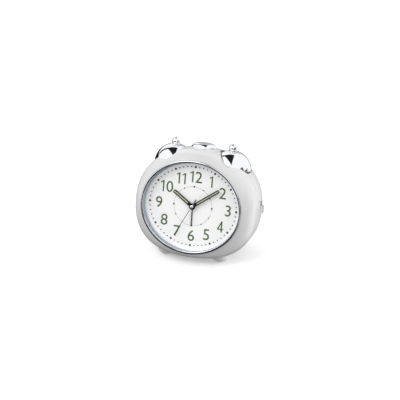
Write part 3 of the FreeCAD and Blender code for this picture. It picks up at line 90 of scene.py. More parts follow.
def add_camera():
    to_camera = Vector((math.sin(CAMERA_TURN) * math.cos(CAMERA_RISE),
                        -math.cos(CAMERA_TURN) * math.cos(CAMERA_RISE),
                        math.sin(CAMERA_RISE)))
    right = Vector((math.cos(CAMERA_TURN), math.sin(CAMERA_TURN), 0))
    up = to_camera.cross(right)
    aim = DIAL_MIDDLE + right * CAMERA_SHIFT[0] + up * CAMERA_SHIFT[1]
    data = bpy.data.cameras.new("camera")
    data.sensor_width = SENSOR_WIDTH
    data.lens = FOCAL_PIXELS * SENSOR_WIDTH / FRAME_PIXELS
    camera = bpy.data.objects.new("camera", data)
    turn = Matrix((right, up, to_camera)).transposed()
    camera.matrix_world = Matrix.Translation(aim + to_camera * CAMERA_DISTANCE) @ turn.to_4x4()
    bpy.context.scene.collection.objects.link(camera)
    bpy.context.scene.camera = camera


add_camera()


# Shader helpers

class Number:
    """A number inside a material. Plain arithmetic on it adds Math nodes."""

    def __init__(self, finish, socket):
        self.finish = finish
        self.socket = socket

    def _math(self, operation, first, second=0.0, clamp=False):
        return self.finish.node("ShaderNodeMath", {"operation": operation, "use_clamp": clamp},
                                {0: first, 1: second})[0]

    def __add__(self, other):
        return self._math("ADD", self, other)

    __radd__ = __add__

    def __sub__(self, other):
        return self._math("SUBTRACT", self, other)

    def __rsub__(self, other):
        return self._math("SUBTRACT", other, self)

    def __mul__(self, other):
        return self._math("MULTIPLY", self, other)

    __rmul__ = __mul__

    def __truediv__(self, other):
        return self._math("DIVIDE", self, other)

    def __pow__(self, other):
        return self._math("POWER", self, other)

    def clamped(self):
        return self._math("ADD", self, 0.0, clamp=True)

    def size(self):
        return self._math("ABSOLUTE", self)

    def at_least(self, least):
        return self._math("MAXIMUM", self, least)

    def angle_over(self, other):
        """The angle in degrees whose sine and cosine go as this number and the other."""
        return self._math("ARCTAN2", self, other) * math.degrees(1)

    def angle_of_sine(self):
        return self._math("ARCSINE", self) * math.degrees(1)


class Outputs:
    """A node's outputs, by name or number, as numbers that arithmetic works on."""

    def __init__(self, finish, made):
        self.finish = finish
        self.made = made

    def __getitem__(self, key):
        return Number(self.finish, self.made.outputs[key])


class Finish:
    """A material round one Principled shader."""

    def __init__(self, name, colour, roughness, **constants):
        self.material = bpy.data.materials.new(name)
        self.material.use_nodes = True
        self.tree = self.material.node_tree
        self.shader = self.tree.nodes["Principled BSDF"]
        self.material.diffuse_color = (*colour, 1)
        self.set("Base Color", (*colour, 1))
        self.set("Roughness", roughness)
        for key, value in constants.items():
            self.set(key.replace("_", " "), value)

    def set(self, socket, value):
        self.plug(self.shader.inputs[socket], value)

    def plug(self, socket, value):
        if isinstance(value, Number):
            self.tree.links.new(value.socket, socket)
        else:
            socket.default_value = value

    def node(self, kind, settings=None, inputs=None):
        made = self.tree.nodes.new(kind)
        for key, value in (settings or {}).items():
            setattr(made, key, value)
        for key, value in (inputs or {}).items():
            self.plug(made.inputs[key], value)
        return Outputs(self, made)

    def place(self):
        return self.node("ShaderNodeTexCoord")["Object"]

    def from_dial(self):
        """Where a point lies from the middle of the dial, in metres."""
        return self.node("ShaderNodeVectorMath", {"operation": "SUBTRACT"},
                         {0: self.place(), 1: DIAL_MIDDLE})["Vector"]

    def along(self, direction):
        """How many millimetres a point lies from the dial's middle along a direction."""
        return self.node("ShaderNodeVectorMath", {"operation": "DOT_PRODUCT"},
                         {0: self.from_dial(), 1: direction})["Value"] * (1 / MM)

    def reach(self):
        """How many millimetres a point lies from the dial's middle, whichever way."""
        return self.node("ShaderNodeVectorMath", {"operation": "LENGTH"},
                         {0: self.from_dial()})["Value"] * (1 / MM)

    def noise(self, scale, detail=2.0, rough=0.5, stretch=None):
        """Cloudy variation from 0 to 1, so many patches to the metre."""
        vector = self.place()
        if stretch:
            stretched = self.node("ShaderNodeMapping", {}, {"Vector": vector, "Scale": stretch})
            vector = stretched["Vector"]
        return self.node("ShaderNodeTexNoise", {}, {
            "Vector": vector, "Scale": scale, "Detail": detail, "Roughness": rough,
        })["Fac"]

    def mix_colour(self, share, first, second):
        made = self.node("ShaderNodeMix", {"data_type": "RGBA"}, {0: share}).made
        for index, value in ((6, first), (7, second)):
            self.plug(made.inputs[index], value if isinstance(value, Number) else (*value, 1))
        return Number(self, made.outputs[2])

    def inside(self, value, low, high, soft):
        """1 between two limits, falling to 0 just inside them."""
        rising = ((value - low) * (1 / soft)).clamped()
        falling = ((high - value) * (1 / soft)).clamped()
        return rising * falling

    def bump(self, height, distance):
        self.set("Normal", self.node("ShaderNodeBump", {}, {
            "Height": height, "Distance": distance, "Strength": 1.0,
        })["Normal"])


# Finishes. Patches, grains and lines are given by how many come to the metre; depths are in metres.

def mottled(name, dark, light, roughness, spread, patches, grains, grain_depth, **constants):
    """A plain finish with faint cloudy colour, uneven gloss and a fine grain."""
    finish = Finish(name, light, roughness, **constants)
    clouds = finish.noise(patches, 3.0)
    finish.set("Base Color", finish.mix_colour(clouds, dark, light))
    smears = finish.noise(patches * 3, 4.0, 0.6)
    finish.set("Roughness", (smears - 0.5) * spread + roughness)
    finish.bump(finish.noise(grains), grain_depth)
    return finish.material


def chromed(name, shade, roughness):
    """Bright plating with a few faint wiping marks."""
    finish = Finish(name, shade, roughness, Metallic=1.0)
    wiped = finish.noise(160.0, 5.0, 0.65, (1.0, 1.0, 0.25))
    finish.set("Roughness", wiped * wiped * 0.05 + roughness)
    dulled = tuple(0.93 * channel for channel in shade)
    finish.set("Base Color", finish.mix_colour(finish.noise(55.0), dulled, shade))
    return finish.material


def brushed(name, dark, light, roughness, stretch):
    """Plain metal with fine lines that run where the stretch is small."""
    finish = Finish(name, light, roughness, Metallic=1.0)
    lines = finish.noise(900.0, 3.0, 0.6, stretch)
    finish.set("Base Color", finish.mix_colour(lines, dark, light))
    finish.set("Roughness", lines * 0.2 + roughness)
    finish.bump(lines, 0.00002)
    return finish.material


FACE_GLOSS = 0.02            # share that the lens mirrors seen straight on
EDGE_GLOSS = 0.8             # and what is added seen along it
EDGE_NARROWNESS = 5.0


def clear_lens():
    """Polished clear plastic: see-through, with a reflection that grows towards the edge."""
    finish = Finish("lens_clear", (0.96, 0.98, 0.99), 0.03, Metallic=1.0)
    smears = finish.noise(35.0, 4.0, 0.6)
    finish.set("Roughness", smears * 0.03 + 0.01)
    finish.set("Base Color", finish.mix_colour(smears, (0.94, 0.97, 0.99), (0.98, 0.99, 1.0)))
    see = finish.node("ShaderNodeBsdfTransparent", {}, {"Color": (1, 1, 1, 1)})["BSDF"]
    edge = finish.node("ShaderNodeLayerWeight", {}, {"Blend": 0.5})["Facing"]
    gloss = edge ** EDGE_NARROWNESS * EDGE_GLOSS + FACE_GLOSS
    mixed = finish.node("ShaderNodeMixShader", {}, {0: gloss, 1: see}).made
    finish.tree.links.new(finish.shader.outputs["BSDF"], mixed.inputs[2])
    finish.tree.links.new(mixed.outputs[0], finish.tree.nodes["Material Output"].inputs["Surface"])
    return finish.material


def case_white():
    """Glossy white moulded plastic with the slightest mould texture."""
    finish = Finish("case_plastic", (0.64, 0.64, 0.645), 0.25, Specular_IOR_Level=0.5,
                    Coat_Roughness=0.1)
    clouds = finish.noise(22.0, 3.0)
    finish.set("Base Color", finish.mix_colour(clouds, (0.63, 0.63, 0.635), (0.65, 0.65, 0.652)))
    smears = finish.noise(75.0)
    finish.set("Roughness", smears * 0.05 + 0.24)
    finish.set("Coat Weight", smears * 0.04 + 0.2)
    finish.bump(finish.noise(420.0), 0.000012)
    return finish.material


PAINTED_SHADE_LEFT_END = 45.0              # how far left of the middle the painted shade on the sloping ring is deepest
PAINTED_SHADE_LEFT_DEEPENING = 1.3         # how much further in its painted shade reaches there
PAINTED_SHADE_DEPTH = -5.28           # the silver carries painted shade from the lens to here,
PAINTED_SHADE_FADE = 2.4              # and clear this much further in
PAINTED_DARK_LINES = ((-4.0, -3.5, 1.0), (-2.2, -1.8, 0.7))   # two painted dark lines that stand for reflections at the ledges: their depths and strength
PAINTED_LINE_SOFTNESS = 0.15


def flange_silver():
    """Satin silver with painted shade, dark and bluish towards the lens and reaching further in at
    the left, clear towards the dial, and with two painted dark lines that stand for reflections at
    the ledges.
    """
    finish = Finish("flange_silver", (0.62, 0.66, 0.72), 0.3, Metallic=0.55)
    depth = finish.along(INWARD)
    # painted shade: the silver is darker near the lens, and this reaches further in at the left
    left = (finish.along(LEFTWARD) * (1 / PAINTED_SHADE_LEFT_END)).clamped()
    clear_of_painted_shade = ((depth - left * PAINTED_SHADE_LEFT_DEEPENING - PAINTED_SHADE_DEPTH) * (1 / PAINTED_SHADE_FADE)).clamped()
    # painted reflections: two dark lines across the sloping ring, just inside its ledges
    lines = 0.0
    for start, end, strength in PAINTED_DARK_LINES:
        lines = finish.inside(depth, start, end, PAINTED_LINE_SOFTNESS) * strength + lines
    clouds = finish.noise(60.0, 3.0)
    unshaded_silver = finish.mix_colour(clouds, (0.84, 0.86, 0.89), (0.90, 0.92, 0.94))
    # painted shade: dark bluish silver near the lens, the unshaded silver near the dial
    silver = finish.mix_colour(clear_of_painted_shade, (0.34, 0.40, 0.48), unshaded_silver)
    finish.set("Base Color", finish.mix_colour(lines, silver, (0.36, 0.38, 0.41)))
    finish.set("Roughness", clouds * 0.1 + 0.25)
    finish.bump(finish.noise(2500.0), 0.000006)
    return finish.material


STRIPS = {                   # where each hand points, in degrees, and half the paint's width
    "hour_hand_strip": (304.5, 0.48),
    "minute_hand_strip": (54.0, 0.37),
}


def luminous(name, clockwise, half_width):
    """Luminous paint down the middle of a hand's slot, dark where it thins out at the sides."""
    finish = Finish(name, (0.55, 0.63, 0.40), 0.6)
    turn = math.radians(clockwise)
    sideways = CLOCK.to_3x3() @ Vector((math.cos(turn), 0, -math.sin(turn)))
    aside = finish.along(sideways.normalized()).size()
    thin = ((aside - half_width) * 6.0).clamped()
    grains = finish.noise(1500.0, 3.0)
    paint = finish.mix_colour(grains, (0.52, 0.60, 0.38), (0.62, 0.70, 0.47))
    finish.set("Base Color", finish.mix_colour(thin, paint, (0.010, 0.014, 0.007)))
    finish.set("Roughness", grains * 0.1 + 0.55)
    finish.bump(grains, 0.00001)
    return finish.material


HUB_REACH = 6.4              # from the dial's middle to the second hand's cap and its rim


def second_silver():
    """A grey needle under a bright cap."""
    finish = Finish("hand_silver", (0.22, 0.22, 0.23), 0.3, Metallic=1.0)
    outside = ((finish.reach() - HUB_REACH) * 2.0).clamped()
    lines = finish.noise(900.0, 3.0, 0.6, (1.0, 1.0, 0.1))
    needle = finish.mix_colour(lines, (0.13, 0.13, 0.14), (0.20, 0.20, 0.21))
    cap = finish.mix_colour(lines, (0.74, 0.74, 0.76), (0.84, 0.84, 0.86))
    finish.set("Base Color", finish.mix_colour(outside, cap, needle))
    finish.set("Roughness", lines * 0.12 + 0.22)
    return finish.material


CHROMES = {
    "chrome": {"shade": (0.86, 0.87, 0.89), "roughness": 0.035},
    "bell_chrome": {"shade": (0.84, 0.85, 0.87), "roughness": 0.03},
    "ring_chrome": {"shade": (0.66, 0.67, 0.70), "roughness": 0.04},
    "button_chrome": {"shade": (0.84, 0.85, 0.87), "roughness": 0.05},
    "switch_chrome": {"shade": (0.86, 0.87, 0.89), "roughness": 0.06},
}
METALS = {
    "brass": {"dark": (0.60, 0.42, 0.16), "light": (0.78, 0.58, 0.28), "roughness": 0.22,
              "stretch": (1.0, 0.1, 1.0)},
    "steel": {"dark": (0.42, 0.42, 0.43), "light": (0.62, 0.62, 0.63), "roughness": 0.28,
              "stretch": (1.0, 1.0, 0.1)},
    "iron": {"dark": (0.20, 0.20, 0.21), "light": (0.36, 0.36, 0.37), "roughness": 0.45,
             "stretch": (1.0, 0.2, 1.0)},
    "copper": {"dark": (0.45, 0.16, 0.06), "light": (0.72, 0.33, 0.15), "roughness": 0.3,
               "stretch": (0.1, 1.0, 1.0)},
}
PLAIN_FINISHES = {
    # the dial's emission is painted light: a faint glow that lifts the dial where the case's recess
    # shades it
    "dial_white": {
        "dark": (0.955, 0.96, 0.95), "light": (0.975, 0.98, 0.97), "roughness": 0.55, "spread": 0.1,
        "patches": 45.0, "grains": 3500.0, "grain_depth": 0.000006,
        "Emission_Color": (1, 1, 1, 1), "Emission_Strength": 0.11},
    "hand_black": {
        "dark": (0.004, 0.004, 0.004), "light": (0.009, 0.009, 0.010), "roughness": 0.45,
        "spread": 0.1, "patches": 400.0, "grains": 3000.0, "grain_depth": 0.000004,
        "Specular_IOR_Level": 0.2},
    "magnet": {
        "dark": (0.09, 0.09, 0.10), "light": (0.16, 0.16, 0.17), "roughness": 0.45, "spread": 0.15,
        "patches": 500.0, "grains": 4000.0, "grain_depth": 0.00002},
    "movement_plastic": {
        "dark": (0.66, 0.66, 0.62), "light": (0.74, 0.74, 0.70), "roughness": 0.42, "spread": 0.12,
        "patches": 90.0, "grains": 2500.0, "grain_depth": 0.00002},
    "gear_plastic": {
        "dark": (0.70, 0.69, 0.62), "light": (0.78, 0.77, 0.71), "roughness": 0.4, "spread": 0.12,
        "patches": 150.0, "grains": 2500.0, "grain_depth": 0.00001},
    "board_green": {
        "dark": (0.04, 0.16, 0.07), "light": (0.07, 0.24, 0.11), "roughness": 0.4, "spread": 0.12,
        "patches": 220.0, "grains": 1800.0, "grain_depth": 0.00002},
    "knob_plastic": {
        "dark": (0.50, 0.50, 0.50), "light": (0.58, 0.58, 0.58), "roughness": 0.38, "spread": 0.12,
        "patches": 130.0, "grains": 3000.0, "grain_depth": 0.00001},
    "switch_plastic": {
        "dark": (0.03, 0.03, 0.03), "light": (0.06, 0.06, 0.06), "roughness": 0.45, "spread": 0.12,
        "patches": 200.0, "grains": 3000.0, "grain_depth": 0.00001},
    "cell_wrap": {
        "dark": (0.16, 0.17, 0.19), "light": (0.24, 0.25, 0.27), "roughness": 0.3, "spread": 0.12,
        "patches": 70.0, "grains": 2000.0, "grain_depth": 0.00001, "Metallic": 0.4},
    "pad_rubber": {
        "dark": (0.52, 0.52, 0.50), "light": (0.62, 0.62, 0.60), "roughness": 0.75, "spread": 0.15,
        "patches": 200.0, "grains": 2200.0, "grain_depth": 0.00004},
    "print_black": {
        "dark": (0.015, 0.015, 0.017), "light": (0.035, 0.035, 0.037), "roughness": 0.5,
        "spread": 0.1, "patches": 900.0, "grains": 4000.0, "grain_depth": 0.000004},
    "print_grey": {
        "dark": (0.24, 0.25, 0.26), "light": (0.34, 0.35, 0.36), "roughness": 0.5, "spread": 0.1,
        "patches": 700.0, "grains": 4000.0, "grain_depth": 0.000004},
    "print_figure": {
        "dark": (0.075, 0.125, 0.045), "light": (0.105, 0.165, 0.065), "roughness": 0.55,
        "spread": 0.1, "patches": 900.0, "grains": 5000.0, "grain_depth": 0.000006},
}
FINISHES = {
    "case_plastic": case_white(),
    "lens_clear": clear_lens(),
    "flange_silver": flange_silver(),
    "hand_silver": second_silver(),
}
FINISHES.update((name, chromed(name, **look)) for name, look in CHROMES.items())
FINISHES.update((name, brushed(name, **look)) for name, look in METALS.items())
FINISHES.update((name, mottled(name, **look)) for name, look in PLAIN_FINISHES.items())

for node, piece in frame["nodes"].items():
    strip = STRIPS.get(node)
    finish = luminous(node + "_paint", *strip) if strip else FINISHES[SLOTS[node]]
    for material_slot in piece.material_slots:
        material_slot.material = finish

lens = frame["nodes"]["lens"]
lens.visible_shadow = False
lens.visible_diffuse = False


# Modelling helpers

def finish_piece(name, bm, material, body, replaced=(), smooth_angle=38.0):
    """A piece from its mesh in the dial's millimetres: placed, shaded, and riding on its body."""
    bm.transform(CLOCK)
    bmesh.ops.recalc_face_normals(bm, faces=bm.faces[:])
    data = bpy.data.meshes.new(name)
    bm.to_mesh(data)
    bm.free()
    for face in data.polygons:
        face.use_smooth = True
    data.set_sharp_from_angle(angle=math.radians(smooth_angle))
    data.materials.append(material)
    piece = bpy.data.objects.new(name, data)
    bpy.context.scene.collection.objects.link(piece)
    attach(piece, body)
    if replaced:
        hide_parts(*replaced)


def chain(bm, points, closed=False):
    """A line of edges through (radius, height) points, beside the axis it will be spun about."""
    verts = [bm.verts.new((radius, 0, height)) for radius, height in points]
    for first, second in zip(verts, verts[1:] + (verts[:1] if closed else [])):
        bm.edges.new((first, second))


def spin_round(bm, steps):
    """Turns the outline once round the line up through the origin."""
    bmesh.ops.spin(bm, geom=bm.verts[:] + bm.edges[:], cent=(0, 0, 0), axis=(0, 0, 1),
                   dvec=(0, 0, 0), angle=2 * math.pi, steps=steps, use_merge=True,
                   use_duplicate=False)
    bmesh.ops.remove_doubles(bm, verts=bm.verts[:], dist=0.001)
    bmesh.ops.recalc_face_normals(bm, faces=bm.faces[:])


def stand_up(bm, verts):
    """Turns flat work from facing up to facing the viewer."""
    bmesh.ops.rotate(bm, cent=(0, 0, 0), matrix=UPRIGHT, verts=verts)


def oval_ring(half_width, half_height, outline, steps=180):
    """A ring round an oval, from a closed outline of (distance outside the oval, depth) points."""
    bm = bmesh.new()
    base = max(half_width, half_height)
    chain(bm, [(base + outside, -depth) for outside, depth in outline], closed=True)
    spin_round(bm, steps)
    for vert in bm.verts:
        radius = math.hypot(vert.co.x, vert.co.y)
        vert.co.x *= (radius - base + half_width) / radius
        vert.co.y *= (radius - base + half_height) / radius
    stand_up(bm, bm.verts[:])
    return bm


def arc(centre, radius, start, end, steps):
    """Points of an arc between two angles in degrees, measured from straight out towards up."""
    turns = [math.radians(start + (end - start) * i / steps) for i in range(steps + 1)]
    return [(centre[0] + radius * math.cos(turn), centre[1] + radius * math.sin(turn))
            for turn in turns]


# Bells and their ball nuts

PARTING = 25.0               # depth of the line between the case's halves, where the bells stand
BELL_X = 30.2
BELL_RIM = 38.6
BELL_RADIUS = 20.4
BELL_HEIGHT = 18.8
BELL_WALL = 1.0
BELL_BORE = 2.1
RIM_ROUND = 0.22
SHARP_TURN = math.radians(50)   # edges of the dome that turn more than this are rounded
KNOB_RADIUS = 4.19
KNOB_LIFT = 2.2
KNOB_NECK = 2.05             # the neck's radius
KNOB_SEAT = 0.72             # how far below its middle the ball is cut, in radii
bell_sphere = (BELL_RADIUS ** 2 + BELL_HEIGHT ** 2) / (2 * BELL_HEIGHT)
bell_centre = BELL_RIM + BELL_HEIGHT - bell_sphere


def bell(side, word):
    bm = bmesh.new()
    lowest = math.degrees(math.asin((BELL_RIM - bell_centre) / bell_sphere))
    highest = math.degrees(math.acos(BELL_BORE / bell_sphere))
    chain(bm, arc((0, bell_centre), bell_sphere, lowest, highest, 28))
    spin_round(bm, 96)
    bmesh.ops.solidify(bm, geom=bm.faces[:], thickness=BELL_WALL)
    bmesh.ops.recalc_face_normals(bm, faces=bm.faces[:])
    rim = [edge for edge in bm.edges
           if len(edge.link_faces) == 2 and edge.calc_face_angle(0) > SHARP_TURN]
    bmesh.ops.bevel(bm, geom=rim, offset=RIM_ROUND, affect="EDGES", segments=3, profile=0.5,
                    material=-1)
    bmesh.ops.translate(bm, vec=(side * BELL_X, PARTING, 0), verts=bm.verts[:])
    node = "bell_" + word
    finish_piece(node + "_dome", bm, FINISHES["bell_chrome"], "root", (node,))


def bell_knob(side, word):
    bm = bmesh.new()
    middle = BELL_RIM + BELL_HEIGHT + KNOB_LIFT
    seat = -math.degrees(math.asin(KNOB_SEAT))
    neck = (KNOB_NECK, middle - KNOB_SEAT * KNOB_RADIUS)
    chain(bm, [neck] + arc((0, middle), KNOB_RADIUS, seat, 90, 20))
    spin_round(bm, 64)
    bmesh.ops.translate(bm, vec=(side * BELL_X, PARTING, 0), verts=bm.verts[:])
    node = "bell_knob_" + word
    finish_piece(node + "_ball", bm, FINISHES["chrome"], "root", (node,))


for side, word in ((-1, "left"), (1, "right")):
    bell(side, word)
    bell_knob(side, word)


# Ring round the lens, and the sloping ring inside it

OPENING = (51.4, 46.5)       # half width and half height of the case's opening
RING_BACK = -7.6
RING_FRONT = -9.3
RING_OUTSIDE = 1.2
RING_INSIDE = -1.1
RING_ROUND = 1.1             # roundness of the ring's outer front edge
LIP_ROUND = 0.6
LENS_FRONT = -6.9
LENS_BACK = -6.0
SEAT = -0.25                 # room between the opening's wall and what stands in it
SLOPE = ((-1.05, LENS_BACK), (-1.2, -5.7), (-1.5, -4.05), (-1.82, -3.9), (-2.05, -2.4),
         (-2.42, -2.25), (-2.6, -1.1), (-2.95, -0.95), (-3.1, -0.1), (-3.15, 0.0))


def lens_ring():
    outer = arc((RING_OUTSIDE - RING_ROUND, RING_FRONT + RING_ROUND), RING_ROUND, 0, -90, 9)
    inner = arc((RING_INSIDE + LIP_ROUND, RING_FRONT + LIP_ROUND), LIP_ROUND, -90, -180, 6)
    outline = [(RING_OUTSIDE, RING_BACK)] + outer + inner
    outline += [(RING_INSIDE, LENS_FRONT), (SEAT, LENS_FRONT), (SEAT, RING_BACK)]
    bm = oval_ring(*OPENING, outline)
    finish_piece("bezel_ring_chrome", bm, FINISHES["ring_chrome"], "root",
                 ("bezel_ring",))


def sloping_ring():
    """A satin ring that steps down to the dial by three fine ledges."""
    bm = oval_ring(*OPENING, ((SEAT, 0.0), (SEAT, LENS_BACK)) + SLOPE)
    finish_piece("dial_flange_steps", bm, FINISHES["flange_silver"], "root",
                 ("dial_flange",), smooth_angle=25.0)


lens_ring()
sloping_ring()


# Dial print

PRINT_HEIGHT = 0.03
HOUR_DOT = 1.15
MINUTE_DOT = 0.66
DOT_STEPS = 20
TRACK_REACH = 42.71          # the dots' oval: its middle radius, and how it is
TRACK_WIDENING = 2.62        # widened to the sides
TRACK_SQUARING = 0.157       # and made a little squarer
ALARM_RING = 20.0
ALARM_LINE = 0.14            # half the width of the line
QUARTER_DOT = 0.95
ALARM_DOT = 0.65
ALARM_DOT_RISE = 1.2         # the alarm dots stand this much higher than the line
FIGURES = {                  # each figure's digits, with the middle of each
    12: ((1, -2.2, 30.0), (2, 4.1, 30.0)),
    1: ((1, 18.2, 27.1),),
    2: ((2, 30.0, 17.0),),
    3: ((3, 36.9, 0.0),),
    4: ((4, 30.3, -17.1),),
    5: ((5, 16.2, -27.2),),
    6: ((6, 0.4, -30.2),),
    7: ((7, -14.9, -27.4),),
    8: ((8, -29.1, -17.4),),
    9: ((9, -35.8, -0.2),),
    10: ((1, -32.2, 16.9), (0, -25.6, 16.9)),
    11: ((1, -16.2, 26.9), (1, -10.2, 26.9)),
}
FIGURE_HEIGHT = 11.4
FIGURE_STROKE = 1.5
FIGURE_SPREAD = 0.004        # how far the letter outlines are grown, in shares of their size
FLAG_REACH = 2.9             # flag of the one, left of its stem's middle
FLAG_DROP = 1.5
FLAG_STROKE = 1.3
FOUR_STEM = 1.15             # the stem of the four, from its middle
FOUR_LEFT = -3.3
FOUR_RIGHT = 3.0
FOUR_BAR = -2.5              # height of its bar
FOUR_STROKE = 1.2
FOUR_SLOPE = ((-2.8, FOUR_BAR), (1.05, 5.1))   # from the bar's left end up to the stem's top
FOUR_OVERLAP = 0.9           # how much longer the slope is, so that its ends sink in


def dot(bm, x, z, radius):
    disc = bmesh.ops.create_circle(bm, cap_ends=True, radius=radius, segments=DOT_STEPS)["verts"]
    stand_up(bm, disc)
    bmesh.ops.translate(bm, vec=(x, -PRINT_HEIGHT, z), verts=disc)


def thicken_print(bm):
    """Gives flat print its slight thickness, down onto the dial."""
    made = bmesh.ops.extrude_face_region(bm, geom=bm.faces[:])["geom"]
    lower = [item for item in made if isinstance(item, bmesh.types.BMVert)]
    bmesh.ops.translate(bm, vec=(0, PRINT_HEIGHT, 0), verts=lower)


def minute_track():
    hours, minutes = bmesh.new(), bmesh.new()
    for minute in range(60):
        turn = math.radians(6 * minute)
        reach = (TRACK_REACH - TRACK_WIDENING * math.cos(2 * turn)
                 + TRACK_SQUARING * math.cos(4 * turn))
        bm, radius = (hours, HOUR_DOT) if minute % 5 == 0 else (minutes, MINUTE_DOT)
        dot(bm, reach * math.sin(turn), reach * math.cos(turn), radius)
    for name, bm in (("dial_hour_dots", hours), ("dial_minute_dots", minutes)):
        thicken_print(bm)
        finish_piece(name, bm, FINISHES["print_black"], "root")


def alarm_track():
    line = ((-ALARM_LINE, 0), (-ALARM_LINE, -PRINT_HEIGHT),
            (ALARM_LINE, -PRINT_HEIGHT), (ALARM_LINE, 0))
    bm = oval_ring(ALARM_RING, ALARM_RING, line, 96)
    finish_piece("dial_alarm_ring", bm, FINISHES["print_grey"], "root")
    bm = bmesh.new()
    for hour in range(12):
        turn = math.radians(30 * hour)
        radius = QUARTER_DOT if hour % 3 == 0 else ALARM_DOT
        dot(bm, ALARM_RING * math.sin(turn), ALARM_RING * math.cos(turn), radius)
    thicken_print(bm)
    bmesh.ops.scale(bm, vec=(1, ALARM_DOT_RISE, 1), verts=bm.verts[:])
    finish_piece("dial_alarm_dots", bm, FINISHES["print_black"], "root")


def lettered_digit(digit):
    """One digit as a thin plate, its middle at the origin."""
    curve = bpy.data.curves.new("figure", "FONT")
    curve.body = str(digit)
    curve.extrude = 0.5
    curve.offset = FIGURE_SPREAD
    curve.resolution_u = 6
    holder = bpy.data.objects.new("figure", curve)
    bpy.context.scene.collection.objects.link(holder)
    bpy.context.view_layer.update()
    data = bpy.data.meshes.new_from_object(holder)
    bpy.data.objects.remove(holder)
    bm = bmesh.new()
    bm.from_mesh(data)
    bmesh.ops.remove_doubles(bm, verts=bm.verts[:], dist=0.0001)
    low = Vector(min(vert.co[axis] for vert in bm.verts) for axis in range(3))
    high = Vector(max(vert.co[axis] for vert in bm.verts) for axis in range(3))
    grow = FIGURE_HEIGHT / (high.y - low.y)
    bmesh.ops.translate(bm, vec=-(low + high) / 2, verts=bm.verts[:])
    bmesh.ops.scale(bm, vec=(grow, grow, PRINT_HEIGHT), verts=bm.verts[:])
    return bm


def flagged_one():
    """The figure one: a stem with a short flag that falls to the left."""
    bm = bmesh.new()
    stem = bmesh.ops.create_cube(bm, size=1.0)["verts"]
    bmesh.ops.scale(bm, vec=(FIGURE_STROKE, FIGURE_HEIGHT, PRINT_HEIGHT), verts=stem)
    flag = bmesh.ops.create_cube(bm, size=1.0)["verts"]
    bmesh.ops.scale(bm, vec=(FLAG_REACH, FLAG_STROKE, PRINT_HEIGHT), verts=flag)
    for vert in flag:
        vert.co.y += FLAG_DROP * vert.co.x / FLAG_REACH
    middle = (-FLAG_REACH / 2, (FIGURE_HEIGHT - FLAG_STROKE - FLAG_DROP) / 2, 0)
    bmesh.ops.translate(bm, vec=middle, verts=flag)
    return bm


def stroke(bm, start, end, width, overlap=0.0):
    """A straight bar of print between two points."""
    start, end = Vector((*start, 0)), Vector((*end, 0))
    run = end - start
    bar = bmesh.ops.create_cube(bm, size=1.0)["verts"]
    bmesh.ops.scale(bm, vec=(run.length + overlap, width, PRINT_HEIGHT), verts=bar)
    turn = Matrix.Rotation(math.atan2(run.y, run.x), 3, "Z")
    bmesh.ops.rotate(bm, cent=(0, 0, 0), matrix=turn, verts=bar)
    bmesh.ops.translate(bm, vec=(start + end) / 2, verts=bar)


def barred_four():
    """The figure four: a stem, a bar across it and a slope up to its top."""
    bm = bmesh.new()
    half = FIGURE_HEIGHT / 2
    stroke(bm, (FOUR_STEM, -half), (FOUR_STEM, half), FIGURE_STROKE)
    stroke(bm, (FOUR_LEFT, FOUR_BAR), (FOUR_RIGHT, FOUR_BAR), FOUR_STROKE)
    stroke(bm, *FOUR_SLOPE, FOUR_STROKE, FOUR_OVERLAP)
    return bm


DRAWN_DIGITS = {1: flagged_one, 4: barred_four}


def figure(number, digits):
    whole = bmesh.new()
    for digit, x, z in digits:
        bm = DRAWN_DIGITS[digit]() if digit in DRAWN_DIGITS else lettered_digit(digit)
        stand_up(bm, bm.verts[:])
        bmesh.ops.translate(bm, vec=(x, -PRINT_HEIGHT / 2, z), verts=bm.verts[:])
        data = bpy.data.meshes.new("digit")
        bm.to_mesh(data)
        bm.free()
        whole.from_mesh(data)
    finish_piece("dial_figure_" + str(number), whole, FINISHES["print_figure"],
                 "root")


minute_track()
alarm_track()
for number, digits in FIGURES.items():
    figure(number, digits)


# Floor and light

FLOOR_SIZE = 6.0
FLOOR_GAP = 0.0002           # the floor lies this far under the feet
KEY_PLACE = (-0.6, -0.9, 1.3)
KEY_AIM = (0, 0, 0.05)
KEY_SIZE = 0.9
KEY_POWER = 8.5
SOFT_LEVEL = 0.50            # soft light from all round, and what is added to it
SOFT_RIGHT = 0.13            # towards the right,
SOFT_BACK = 0.32             # the back,
SOFT_UP = 0.25               # the top
SOFT_SIDES = 1.55            # and both sides
SOFT_LEAST = 0.02
MIRRORED_LIGHT = 1.15        # what polished surfaces see between the dark cards
CARD_DARKNESS = 0.985
OPEN = 1e3                   # a limit that nothing reaches

# The dark cards' places are in degrees: bearings from straight in front of the clock towards its
# right side, and rises above the level. Their edges' softness is in degrees too.
PLAIN_CARDS = (              # bearings, rises, softness, darkness
    ((-36.0, 12.0), (-14.0, 15.0), 4.0, 1.0),      # where the viewer stands
    ((-114.0, 52.0), (-72.0, -9.0), 4.0, 1.0),     # low in front
    ((38.0, 95.0), (-40.0, 25.0), 5.0, 0.95),      # on the right
    ((92.0, 122.0), (-18.0, 3.0), 3.0, 0.85),      # small, low, behind the right
)


def add_floor():
    bm = bmesh.new()
    bmesh.ops.create_grid(bm, x_segments=1, y_segments=1, size=FLOOR_SIZE)
    data = bpy.data.meshes.new("floor")
    bm.to_mesh(data)
    bm.free()
    floor = bpy.data.objects.new("floor", data)
    floor.location = (0, 0, size_at_load[0][2] - FLOOR_GAP)
    floor.visible_glossy = False
    floor.visible_diffuse = False
    finish = Finish("floor", (0.97, 0.97, 0.97), 0.9, Emission_Color=(1, 1, 1, 1),
                    Emission_Strength=0.12)
    data.materials.append(finish.material)
    bpy.context.scene.collection.objects.link(floor)


